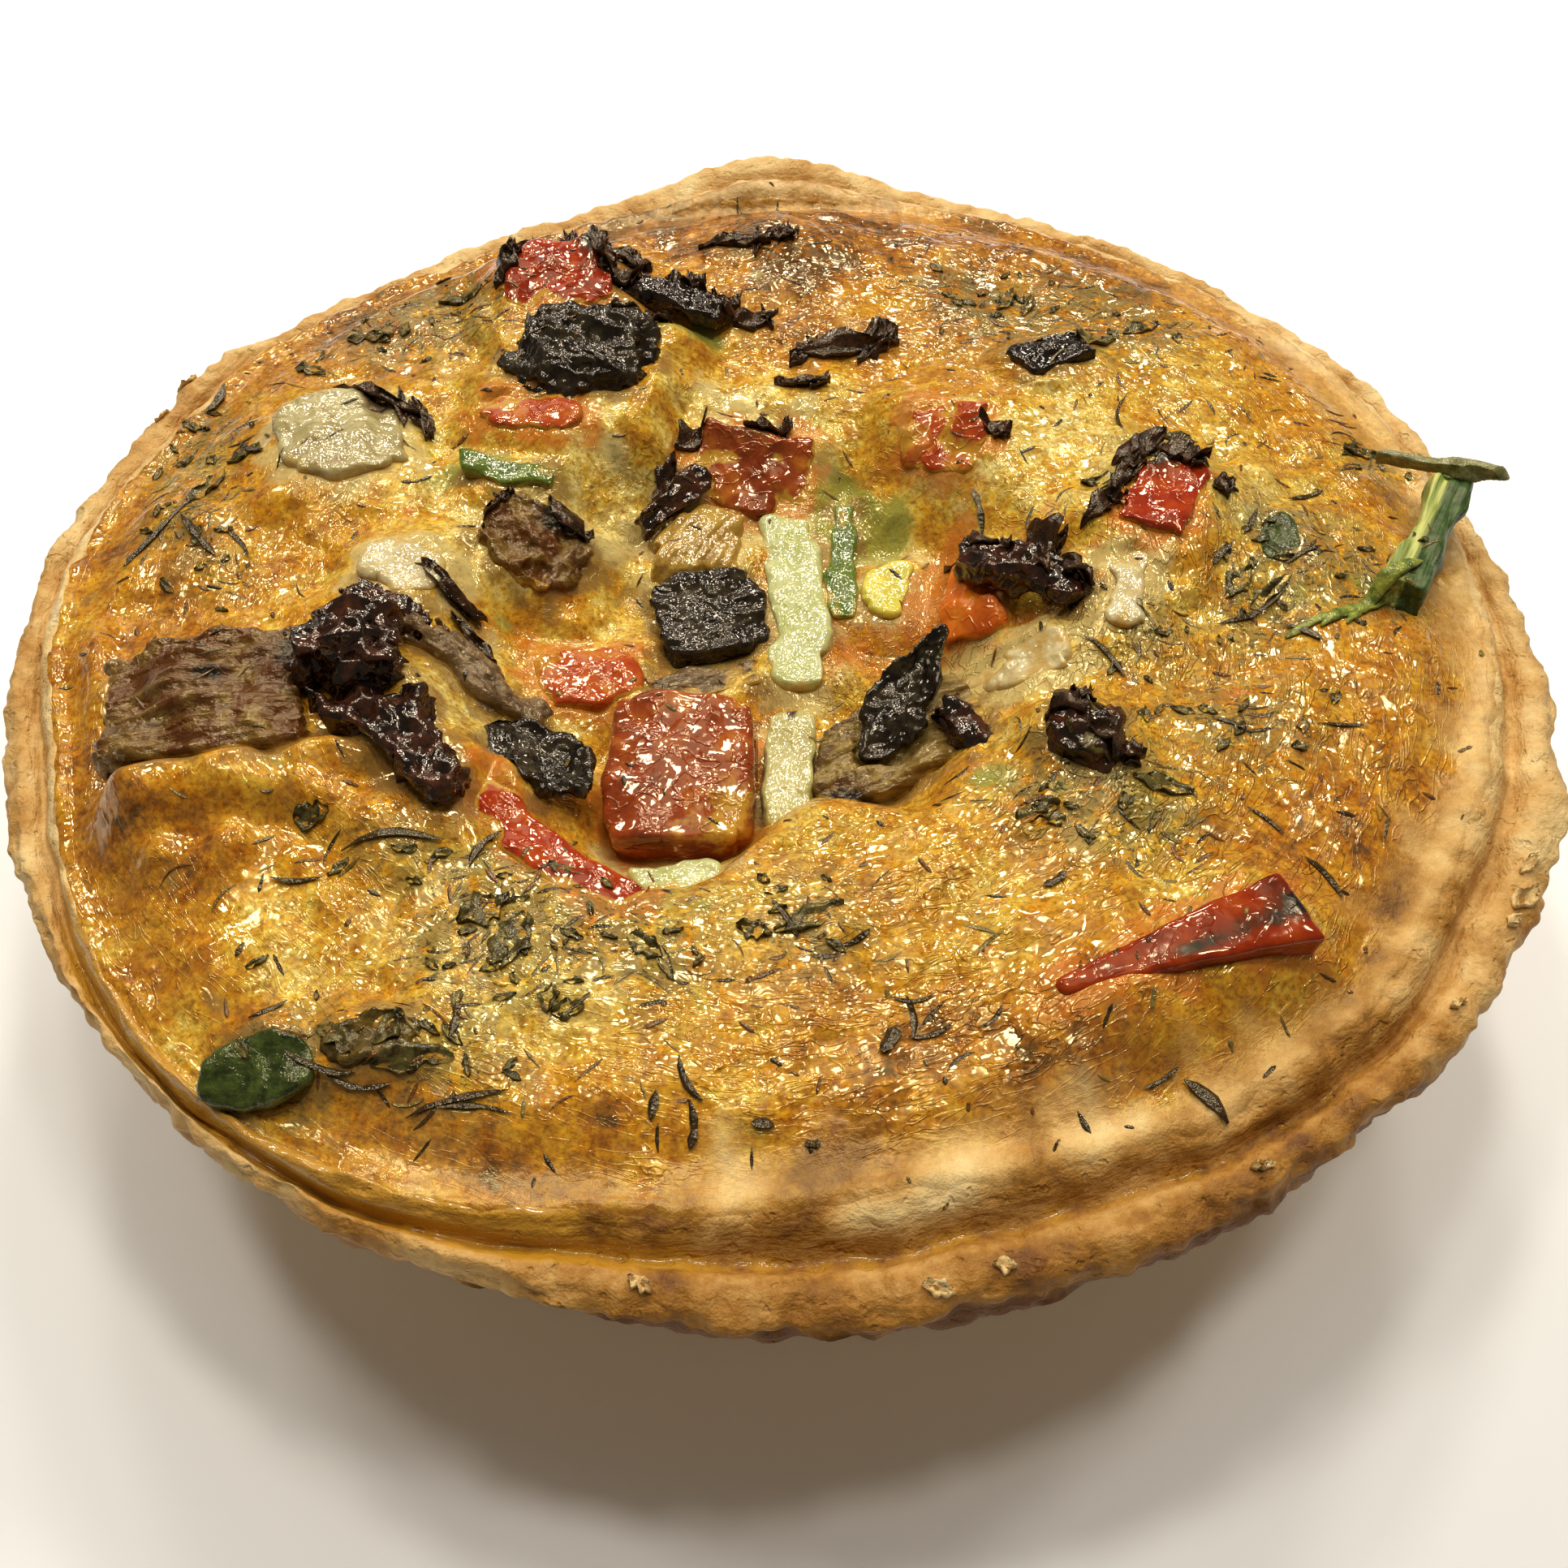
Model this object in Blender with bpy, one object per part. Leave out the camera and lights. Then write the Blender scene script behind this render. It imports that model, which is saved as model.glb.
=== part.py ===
"""Mini quiche: a flared pastry shell with a layered rim, a puffed custard filling and baked-in vegetables.

The base rests on Z = 0 with the origin at its centre. The serving side, where the big red pepper
square lies, faces -Y. Sizes are in metres; MM turns the millimetres of the parts list into them.
"""

import math

import bmesh
import bpy
import numpy as np
from mathutils import Matrix, Vector, noise

MM = 0.001
GAP = 0.3 * MM              # air kept between two pieces that touch
SHARP_ANGLE = 50            # folds steeper than this many degrees stay sharp

# Pastry shell. The rim level is the height of the rim's widest line over the base.
RIM_LEVEL = 27.5 * MM
RIM_RADIUS = 60.0 * MM
BASE_RADIUS = 42.0 * MM
BASE_CHAMFER = 1.2 * MM
FLOOR_THICKNESS = 3.5 * MM
WELL_RADIUS = 38.5 * MM     # the well's floor, under the filling
WALL_TOP_INSET = 5.2 * MM   # from the rim's edge in to the outer wall
WALL_TOP_DROP = 3.9 * MM    # from the rim level down to the outer wall's top
UNDER_RIM = ((2.2, 3.3), (0.5, 1.9))    # underside of the rim: in from its edge, down from its level, in mm
SHELF_INSET = 8.2 * MM      # least distance from the rim's edge in to the well
SHELF_STEP = 0.5 * MM       # how far the pastry's shelf reaches in under the custard's edge
WELL_STEP = 1.2 * MM        # how far in the well's side starts
SIDES = 81                  # odd, so that no edge of the base runs through its centre
FLAKE_HEIGHT = 0.45 * MM
FLAKE_LENGTH = 5.0 * MM

# Rim section from its outer edge (0) to where the custard starts (1), with heights over the rim level.
RIM_SECTION = (
    (0.00, 0.0), (0.06, 1.1), (0.20, 1.7), (0.35, 1.4), (0.46, 0.5), (0.53, 0.6),
    (0.61, 2.0), (0.75, 2.7), (0.90, 2.7), (1.00, 2.1),
)
# Uneven places of the rim: angle, half width in degrees, outwards and upwards in mm.
RIM_SWELLS = (
    (90, 16, 0.9, 2.4), (128, 34, -1.6, -1.1), (160, 26, 0.5, -0.8), (50, 48, 0.0, -1.1),
    (4, 16, -0.9, -0.4), (318, 12, 0.9, 0.0), (337, 10, 0.9, 0.3), (272, 10, 0.1, -0.2),
    (148, 5, 0.9, 0.5), (153, 4, 1.0, 0.4), (329, 5, 1.0, -0.5), (257, 8, -0.5, 0.0),
)

# Filling
EDGE_RADIUS = 54.0 * MM     # the mean line where custard meets pastry
EDGE_LEVEL = RIM_LEVEL + 2.0 * MM
PUFF_HEIGHT = 2.3 * MM
SKIN_DROP = 1.3 * MM        # depth of the custard's rounded side over the shelf
# Uneven places of the custard's edge: angle, half width in degrees, outwards in mm.
EDGE_SWELLS = (
    (279, 34, -3.0), (230, 36, 4.0), (105, 44, -2.4), (180, 24, 2.0), (30, 34, 1.4), (332, 22, -1.2),
)
SUNK_CENTRE = (-2.0 * MM, -4.0 * MM)
SUNK_RADIUS = 26.5 * MM
SUNK_DEPTH = 7.0 * MM
SUNK_SLOPE = 15.0 * MM      # width of the slope, gentle at the back
SUNK_CLIFF = 8.5 * MM       # how much narrower it is at the front
SUNK_CLIFF_PLACE = (285, 80)
# Uneven places of the sunk middle's brim: angle, half width in degrees, outwards in mm.
SUNK_SWELLS = ((283, 22, -4.6), (250, 26, 4.0), (218, 20, 2.0), (316, 18, -2.2), (60, 60, 2.5))
# Lumps and hollows of the skin: x, y, height and width in mm.
SKIN_LUMPS = (
    (0, 44, 1.6, 9), (-38, -25, 1.6, 6), (-27, -27, 1.2, 5), (-12, -38, 0.6, 7), (8, -31, 0.9, 7),
    (-45, 2, 0.9, 9), (28, -24, 1.1, 10), (45, -12, 0.9, 9), (36, 24, 0.8, 9), (-32, 31, 0.8, 8),
    (-2, 27, -1.9, 6), (9, 25, -1.3, 5), (-22, -8, -1.2, 6), (-30, 12, -0.8, 6), (-14, 12, 1.4, 6),
    (20, -26, 0.6, 7), (24, 12, 0.9, 6), (-18, -44, 0.7, 9), (20, -46, 0.6, 8),
)
SKIN_WAVE = 0.45 * MM
SKIN_WAVE_LENGTH = 8.0 * MM
FINE_RINGS = (0.97, 0.92, 0.84, 0.74, 0.65, 0.57, 0.50, 0.43)
COARSE_RINGS = (0.34, 0.24, 0.13)
COARSE_SHARE = 3            # fine sides for each coarse one

# Herb needles fused to the skin
HERB_SEED = 31
NOISE_SEED = 1795532191     # for noise_vector, which otherwise starts from the clock and differs each run
NEEDLE_LENGTHS = (2.6 * MM, 5.6 * MM)
NEEDLE_WIDTH = 0.75 * MM
NEEDLE_THICKNESS = 0.7 * MM
HERB_CLEARANCE = 0.7 * MM   # kept from each vegetable
# Where herbs gather: x, y, spread in mm, and how many needles.
HERB_BEDS = (
    (-27, -43, 7, 14), (-20, -36, 7, 12), (-4, -38, 8, 14), (8, -43, 6, 9), (25, -46, 5, 8),
    (30, -20, 8, 14), (-45, 12, 6, 12), (-32, 28, 7, 12), (28, 31, 8, 13), (41, 17, 6, 9),
    (42, -4, 7, 10), (0, 34, 7, 8), (-38, -31, 6, 9), (-8, -46, 7, 9), (10, 40, 7, 7),
)

PALETTE = {                 # base colour, roughness
    "pastry": ((0.72, 0.48, 0.23), 0.72),
    "custard": ((0.72, 0.38, 0.08), 0.42),
    "pepper": ((0.48, 0.045, 0.02), 0.28),
    "onion": ((0.66, 0.60, 0.34), 0.38),
    "leek": ((0.30, 0.15, 0.06), 0.50),
    "char": ((0.022, 0.016, 0.014), 0.40),
    "green": ((0.22, 0.28, 0.07), 0.42),
}


def clear_scene():
    for old in list(bpy.data.objects):
        bpy.data.objects.remove(old, do_unlink=True)


def make_materials():
    materials = {}
    for name, (colour, roughness) in PALETTE.items():
        material = bpy.data.materials.new(name)
        material.use_nodes = True
        shader = material.node_tree.nodes["Principled BSDF"]
        shader.inputs["Base Color"].default_value = (*colour, 1.0)
        shader.inputs["Roughness"].default_value = roughness
        shader.inputs["Metallic"].default_value = 0.0
        materials[name] = material
    return materials


def add_object(name, bm, material):
    """Turns a bmesh into a linked object with outward faces and its own material."""
    bmesh.ops.triangulate(bm, faces=bm.faces[:])
    bmesh.ops.recalc_face_normals(bm, faces=bm.faces[:])
    mesh = bpy.data.meshes.new(name)
    bm.to_mesh(mesh)
    bm.free()
    mesh.materials.append(material)
    made = bpy.data.objects.new(name, mesh)
    bpy.context.scene.collection.objects.link(made)
    return made


# --- Forms shared by pastry and custard -------------------------------------------------------------


def swell(angle, centre, half_width):
    """A smooth hump, 1 at its centre angle and 0 from half_width degrees away."""
    away = abs((angle - centre + 180.0) % 360.0 - 180.0) / half_width
    return max(0.0, 1.0 - away * away) ** 2


def rim_radius(angle):
    return RIM_RADIUS + MM * sum(out * swell(angle, at, width) for at, width, out, _ in RIM_SWELLS)


def rim_lift(angle):
    return MM * sum(up * swell(angle, at, width) for at, width, _, up in RIM_SWELLS)


def edge_radius(angle):
    return EDGE_RADIUS + MM * sum(out * swell(angle, at, width) for at, width, out in EDGE_SWELLS)


def smooth_step(low, high, value):
    share = min(1.0, max(0.0, (value - low) / (high - low)))
    return share * share * (3.0 - 2.0 * share)


def sunk_share(x, y):
    """How far the skin is sunk at a place seen from the sunk middle's centre: 1 on its floor, 0 outside."""
    angle = math.degrees(math.atan2(y, x))
    brim = SUNK_RADIUS + MM * sum(out * swell(angle, at, width) for at, width, out in SUNK_SWELLS)
    slope = SUNK_SLOPE - SUNK_CLIFF * swell(angle, *SUNK_CLIFF_PLACE)
    return 1.0 - smooth_step(brim - slope, brim, math.hypot(x, y))


def skin_height(x, y):
    """Height of the custard's skin over the base: a puffed ring, a sunk middle, lumps and waves."""
    angle = math.degrees(math.atan2(y, x))
    share = min(1.0, math.hypot(x, y) / edge_radius(angle))
    height = EDGE_LEVEL + PUFF_HEIGHT * (1.0 - share**10) ** 0.6
    height -= SUNK_DEPTH * sunk_share(x - SUNK_CENTRE[0], y - SUNK_CENTRE[1])
    for at_x, at_y, lump, width in SKIN_LUMPS:
        away = math.hypot(x - at_x * MM, y - at_y * MM) / (width * MM)
        height += lump * MM * math.exp(-away * away)
    fade = 1.0 - smooth_step(0.85, 1.0, share)
    wave = noise.noise(Vector((x, y, 0.0)) / SKIN_WAVE_LENGTH)
    return height + SKIN_WAVE * wave * fade


# --- Turned bodies ----------------------------------------------------------------------------------


def side_angles(count):
    return [360.0 * k / count for k in range(count)]


def add_ring(bm, angles, point_at):
    """One closed ring of points; point_at gives the radius and height at an angle."""
    ring = []
    for angle in angles:
        radius, height = point_at(angle)
        turn = math.radians(angle)
        ring.append(bm.verts.new((radius * math.cos(turn), radius * math.sin(turn), height)))
    return ring


def stitch(bm, outer, inner):
    """Faces between two rings; the outer one may have several points for each inner one."""
    share = len(outer) // len(inner)
    for k, start in enumerate(inner):
        far = [outer[(k * share + i) % len(outer)] for i in range(share + 1)]
        bm.faces.new([start, *far, inner[(k + 1) % len(inner)]])


def flaked(angle, radius, height):
    """Moves a point of the pastry's outside by the flakes' relief."""
    turn = math.radians(angle)
    place = Vector((radius * math.cos(turn), radius * math.sin(turn), 2.5 * height)) / FLAKE_LENGTH
    lift = FLAKE_HEIGHT * noise.noise(place)
    push = FLAKE_HEIGHT * noise.noise(place + Vector((7.0, 3.0, 1.0)))
    return radius + push, height + lift


def make_crust(material):
    """The pastry: flat base, flared wall, overhanging rim in two layers, and the well for the filling."""
    angles = side_angles(SIDES)
    bm = bmesh.new()

    def base_edge(angle):
        return BASE_RADIUS, 0.0

    def base_chamfer(angle):
        return BASE_RADIUS + BASE_CHAMFER, BASE_CHAMFER

    def wall(share):
        def point(angle):
            top = rim_radius(angle) - WALL_TOP_INSET
            low = BASE_RADIUS + BASE_CHAMFER
            radius = low + share * (top - low)
            height = BASE_CHAMFER + share * (RIM_LEVEL - WALL_TOP_DROP - BASE_CHAMFER)
            return flaked(angle, radius, height)
        return point

    def under_rim(inset, drop):
        def point(angle):
            radius = rim_radius(angle) - inset * MM
            return flaked(angle, radius, RIM_LEVEL + rim_lift(angle) - drop * MM)
        return point

    def rim_top(share, height):
        def point(angle):
            outer = rim_radius(angle)
            radius = outer + share * (edge_radius(angle) - outer)
            level = RIM_LEVEL + rim_lift(angle) * (1.0 - 0.35 * share) + height * MM
            if share == 1.0:
                return radius, RIM_LEVEL + height * MM + min(0.0, rim_lift(angle))
            return flaked(angle, radius, level)
        return point

    rings = [add_ring(bm, angles, base_edge), add_ring(bm, angles, base_chamfer)]
    rings += [add_ring(bm, angles, wall(share)) for share in (0.5, 1.0)]
    rings += [add_ring(bm, angles, under_rim(inset, drop)) for inset, drop in UNDER_RIM]
    rings += [add_ring(bm, angles, rim_top(share, height)) for share, height in RIM_SECTION]
    rings += [add_ring(bm, angles, point) for point in (shelf_edge, well_edge, well_floor)]
    bm.faces.new(rings[0])
    bm.faces.new(rings[-1])
    for lower, upper in zip(rings, rings[1:]):
        stitch(bm, lower, upper)
    return add_object("crust", bm, material)


def shelf_edge(angle):
    return edge_radius(angle) - SHELF_STEP, EDGE_LEVEL - SKIN_DROP


def well_edge(angle):
    radius = min(edge_radius(angle) - WELL_STEP, rim_radius(angle) - SHELF_INSET)
    return radius, EDGE_LEVEL - 2.0 * SKIN_DROP


def well_floor(angle):
    return WELL_RADIUS, FLOOR_THICKNESS


def make_custard(material):
    """The filling: fills the well with a small gap, and its skin is puffed at the ring and sunk inside."""
    fine = side_angles(SIDES)
    coarse = side_angles(SIDES // COARSE_SHARE)
    bm = bmesh.new()

    def drawn_in(point_at, lift):
        def point(angle):
            radius, height = point_at(angle)
            return radius - GAP, height + lift
        return point

    def skin(share):
        def point(angle):
            turn = math.radians(angle)
            radius = share * (edge_radius(angle) - GAP)
            return radius, skin_height(radius * math.cos(turn), radius * math.sin(turn))
        return point

    rings = [
        add_ring(bm, fine, drawn_in(well_floor, GAP)),
        add_ring(bm, fine, drawn_in(well_edge, GAP)),
        add_ring(bm, fine, drawn_in(shelf_edge, GAP)),
        add_ring(bm, fine, lambda angle: (edge_radius(angle) - 1.2 * GAP, EDGE_LEVEL + GAP)),
    ]
    rings += [add_ring(bm, fine, skin(share)) for share in FINE_RINGS]
    rings += [add_ring(bm, coarse, skin(share)) for share in COARSE_RINGS]
    bm.faces.new(rings[0])
    for outer, inner in zip(rings, rings[1:]):
        stitch(bm, outer, inner)
    centre = bm.verts.new((0.0, 0.0, skin_height(0.0, 0.0)))
    last = rings[-1]
    for k, start in enumerate(last):
        bm.faces.new([start, last[(k + 1) % len(last)], centre])
    return add_object("filling", bm, material)


# --- Vegetables -------------------------------------------------------------------------------------


def seat(x, y, lift, turn, roll, pitch, lean=1.0, level=None):
    """A piece's place, in mm and degrees: turned and tilted from the skin's slope at x, y.

    Its middle is lift over the skin or, where the skin is too steep to lie on, level over the rim.
    """
    x, y = x * MM, y * MM
    span = 3.0 * MM
    slope_x = (skin_height(x + span, y) - skin_height(x - span, y)) / (2.0 * span)
    slope_y = (skin_height(x, y + span) - skin_height(x, y - span)) / (2.0 * span)
    normal = Vector((-lean * slope_x, -lean * slope_y, 1.0)).normalized()
    height = skin_height(x, y) + lift * MM if level is None else RIM_LEVEL + level * MM
    leaned = Vector((0.0, 0.0, 1.0)).rotation_difference(normal).to_matrix().to_4x4()
    turned = Matrix.Rotation(math.radians(turn), 4, "Z")
    rolled = Matrix.Rotation(math.radians(roll), 4, "X")
    pitched = Matrix.Rotation(math.radians(pitch), 4, "Y")
    return Matrix.Translation((x, y, height)) @ leaned @ turned @ rolled @ pitched


def cut_cells(bm, cells):
    """Cuts a cube of half size 1 into cells along each axis."""
    for axis, count in enumerate(cells):
        direction = Vector((0.0, 0.0, 0.0))
        direction[axis] = 1.0
        for k in range(1, count):
            geometry = bm.verts[:] + bm.edges[:] + bm.faces[:]
            at = direction * (2.0 * k / count - 1.0)
            bmesh.ops.bisect_plane(bm, geom=geometry, plane_co=at, plane_no=direction)


def chunk_bmesh(size, cells, plump, taper, bend, arch, ragged, seed, grow):
    """A cut piece of vegetable: a block with rounded or ragged sides, bent sideways and arched upwards."""
    bm = bmesh.new()
    bmesh.ops.create_cube(bm, size=2.0)
    cut_cells(bm, cells)
    half = [0.5 * s * MM + grow for s in size]
    for vert in bm.verts:
        unit = vert.co.copy()
        unit = unit.lerp(unit.normalized(), plump)
        shift = noise.noise_vector(unit * 1.7 + Vector((seed, 0.37 * seed, 0.0)))
        unit += ragged * shift
        narrowing = 1.0 - taper * 0.5 * (1.0 + unit.x)
        along = unit.x * half[0]
        across = unit.y * half[1] * narrowing
        up = unit.z * half[2] * narrowing
        curve = 1.0 - unit.x * unit.x
        vert.co = (along, across + bend * MM * curve, up + arch * MM * curve)
    return bm


def leaf_bmesh(size, wave, seed, grow):
    """A thin wavy leaf. Both faces have the same triangles, so that its thickness is the same all over."""
    length, width, thickness = (s * MM for s in size)
    steps_along, steps_across = 6, 3
    bm = bmesh.new()
    faces = []
    for side in (1.0, -1.0):
        rows = []
        for i in range(steps_along + 1):
            u = 2.0 * i / steps_along - 1.0
            reach = 0.5 * width * (0.18 + 0.82 * math.sqrt(max(0.0, 1.0 - u * u))) + grow
            along = u * (0.5 * length + grow)
            row = []
            for j in range(steps_across + 1):
                across = reach * (2.0 * j / steps_across - 1.0)
                fold = 2.0 * across / width
                ripple = math.sin(6.2 * along / length + seed) * math.cos(2.3 * fold + 0.7 * seed)
                height = wave * MM * (ripple + 0.6 * fold * fold) + side * (0.5 * thickness + grow)
                row.append(bm.verts.new((along, across, height)))
            rows.append(row)
        faces.append(rows)
    top, bottom = faces
    for rows, flipped in ((top, False), (bottom, True)):
        for i in range(steps_along):
            for j in range(steps_across):
                a, b = rows[i][j], rows[i + 1][j]
                c, d = rows[i + 1][j + 1], rows[i][j + 1]
                for corners in ((a, b, c), (a, c, d)):
                    bm.faces.new(corners[::-1] if flipped else corners)
    rim = [(i, 0) for i in range(steps_along)]
    rim += [(steps_along, j) for j in range(steps_across)]
    rim += [(i, steps_across) for i in range(steps_along, 0, -1)]
    rim += [(0, j) for j in range(steps_across, 0, -1)]
    for (i, j), (k, l) in zip(rim, rim[1:] + rim[:1]):
        bm.faces.new((top[i][j], bottom[i][j], bottom[k][l], top[k][l]))
    return bm


class Tray:
    """Collects the vegetables with the room that each takes in what lies under it."""

    def __init__(self, materials):
        self.materials = materials
        self.pieces = []
        self.rooms = []
        self.spots = []

    def lay(self, name, stuff, build, place, reach):
        piece_mesh, room_mesh = build(0.0), build(GAP)
        for bm in (piece_mesh, room_mesh):
            bmesh.ops.transform(bm, matrix=place, verts=bm.verts[:])
        piece = add_object(name, piece_mesh, self.materials[stuff])
        room = add_object(name + "_room", room_mesh, self.materials[stuff])
        room.hide_render = True
        room.display_type = "WIRE"
        self.pieces.append(piece)
        self.rooms.append(room)
        self.spots.append((place.translation.x, place.translation.y, reach))

    def chunk(self, name, stuff, at, size, lift=0.6, turn=0, roll=0, pitch=0, lean=1.0, level=None,
              cells=(2, 2, 1), plump=0.1, taper=0.0, bend=0.0, arch=0.0, ragged=0.08):
        seed = float(len(self.pieces))

        def build(grow):
            return chunk_bmesh(size, cells, plump, taper, bend, arch, ragged, seed, grow)

        place = seat(*at, lift, turn, roll, pitch, lean, level)
        self.lay(name, stuff, build, place, 0.5 * MM * max(size))

    def leaf(self, name, stuff, at, size, lift=0.9, turn=0, roll=0, pitch=0, lean=1.0, level=None,
             wave=0.5):
        seed = float(len(self.pieces))

        def build(grow):
            return leaf_bmesh(size, wave, seed, grow)

        place = seat(*at, lift, turn, roll, pitch, lean, level)
        self.lay(name, stuff, build, place, 0.5 * MM * max(size))


def lay_middle(tray):
    """The pieces in the sunk middle, from the back to the front."""
    tray.chunk("pepper_back", "pepper", (-2.3, 14.6), (10.6, 8.0, 3.2), turn=-8, cells=(3, 2, 1))
    tray.chunk("onion_dome", "onion", (-6.7, 6.4), (9.6, 9.2, 5.0), lift=0.9, plump=0.7, cells=(3, 3, 2))
    tray.chunk("dome_char", "char", (-8.8, 9.6), (8.4, 2.4, 1.8), lift=2.6, turn=52, cells=(3, 1, 1))
    tray.chunk("green_skin", "green", (5.2, 5.0), (13.5, 2.4, 1.8), lift=0.5, turn=86, cells=(4, 1, 1))
    tray.chunk("courgette_strip", "onion", (0.7, 0.9), (21.0, 5.2, 2.8), turn=-87, cells=(6, 1, 1),
               bend=0.8, plump=0.2)
    tray.chunk("yellow_chunk", "onion", (8.9, 1.4), (5.0, 7.0, 3.0), lift=0.8, turn=-14, plump=0.35)
    tray.chunk("grey_shred", "leek", (-6.0, -8.0), (9.6, 3.0, 1.8), lift=0.5, turn=12, cells=(4, 1, 1))
    tray.chunk("black_square", "char", (-5.4, -1.4), (9.0, 8.2, 2.8), lift=1.3, turn=10, roll=6,
               cells=(3, 3, 1), arch=0.5)
    tray.chunk("onion_middle", "onion", (18.0, -10.6), (9.6, 5.6, 2.2), lift=0.3, turn=8, plump=0.3)
    tray.chunk("leek_piece", "leek", (8.9, -16.6), (14.6, 8.4, 2.8), turn=24, lean=0.3, level=-0.4,
               cells=(4, 2, 1), arch=0.9)
    tray.chunk("onion_slice", "onion", (0.8, -19.4), (14.4, 4.0, 3.4), turn=88, lean=0, level=-0.9,
               cells=(4, 1, 1), plump=0.25)
    tray.chunk("white_bit", "onion", (-7.0, -28.6), (7.0, 3.2, 2.4), lean=0, level=-0.7, cells=(2, 1, 1))
    tray.chunk("pepper_square", "pepper", (-7.2, -19.2), (11.2, 13.0, 5.4), turn=-3, roll=9, lean=0,
               level=-0.4, cells=(3, 3, 2), arch=0.6)
    tray.leaf("char_leaf", "char", (9.6, -13.2), (12.4, 6.2, 1.0), turn=58, pitch=-20, lean=0, level=2.8,
              wave=0.6)
    tray.chunk("char_twist", "char", (14.0, -17.0), (6.8, 2.6, 2.0), turn=-58, pitch=8, lean=0, level=2.5,
               cells=(3, 1, 1), arch=0.6, ragged=0.2)
    tray.chunk("pepper_strip", "pepper", (-15.2, -27.2), (17.4, 4.0, 3.6), turn=-41, lean=0, level=2.6,
               cells=(5, 1, 1), bend=-1.8, plump=0.2)
    tray.chunk("pepper_left", "pepper", (-14.8, -8.2), (8.6, 6.4, 3.0), turn=12, lean=0.6)
    tray.leaf("leaf_curl", "char", (-17.4, -19.4), (9.6, 5.6, 1.0), turn=-38, lean=0.4, level=2.6, wave=0.7)
    tray.chunk("grey_strip", "leek", (-22.8, -11.2), (13.6, 3.4, 2.0), lift=0.8, turn=-29, cells=(4, 1, 1))


def lay_left(tray):
    """The large charred leek on the left, with the onion and the dark pieces behind it."""
    tray.chunk("grey_onion", "onion", (-36.5, 12.9), (11.6, 11.6, 3.0), lift=0.8, turn=15,
               cells=(3, 3, 1), plump=0.35, arch=0.8)
    tray.chunk("green_strip", "green", (-22.3, 9.4), (9.6, 2.4, 1.8), lift=0.5, turn=-6, cells=(3, 1, 1))
    tray.chunk("charred_ridge", "leek", (-20.2, 3.0), (9.2, 7.6, 3.8), lift=1.1, turn=-20, lean=0.7,
               cells=(3, 3, 1), plump=0.35, ragged=0.16)
    tray.chunk("onion_patch", "onion", (-29.2, -2.2), (7.6, 6.2, 2.4), lift=0.5, plump=0.4)
    tray.chunk("small_dark", "char", (-29.6, -6.6), (8.0, 2.4, 1.8), lift=0.9, turn=-33, cells=(3, 1, 1))
    tray.chunk("leek_slab", "leek", (-40.4, -16.8), (16.0, 12.4, 3.0), lift=1.1, turn=11,
               cells=(4, 3, 1), arch=0.8)
    tray.chunk("char_tail", "char", (-26.8, -19.8), (15.4, 8.4, 4.4), lift=1.6, turn=-47,
               cells=(4, 3, 1), plump=0.35, taper=0.35, ragged=0.16)
    tray.chunk("char_knob", "char", (-30.8, -13.2), (8.6, 8.4, 7.2), lift=3.2, turn=20,
               cells=(3, 3, 2), plump=0.75, ragged=0.18)


def lay_back(tray):
    """The pieces on the far side of the ring."""
    tray.chunk("pepper_under", "pepper", (-20.9, 16.5), (8.8, 4.6, 2.8), turn=-20, cells=(3, 1, 1))
    tray.chunk("pepper_upper", "pepper", (-20.2, 34.0), (10.0, 8.0, 4.2), lift=1.7, turn=14, roll=20,
               cells=(3, 2, 1))
    tray.chunk("dark_oval", "char", (-17.0, 22.9), (13.2, 11.4, 5.6), lift=2.0, turn=-12, roll=10,
               cells=(4, 3, 2), plump=0.75, ragged=0.1)
    tray.chunk("dark_strip", "char", (-10.2, 32.8), (13.0, 2.8, 1.8), lift=1.1, turn=-22,
               cells=(4, 1, 1), arch=0.6, ragged=0.2)
    tray.chunk("pepper_pink", "pepper", (14.4, 14.4), (8.4, 7.4, 2.8), lift=0.5, turn=-10, plump=0.25)
    tray.chunk("dark_bit", "char", (24.1, 24.0), (6.6, 4.4, 2.0), lift=0.7, turn=20, ragged=0.2)


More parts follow.
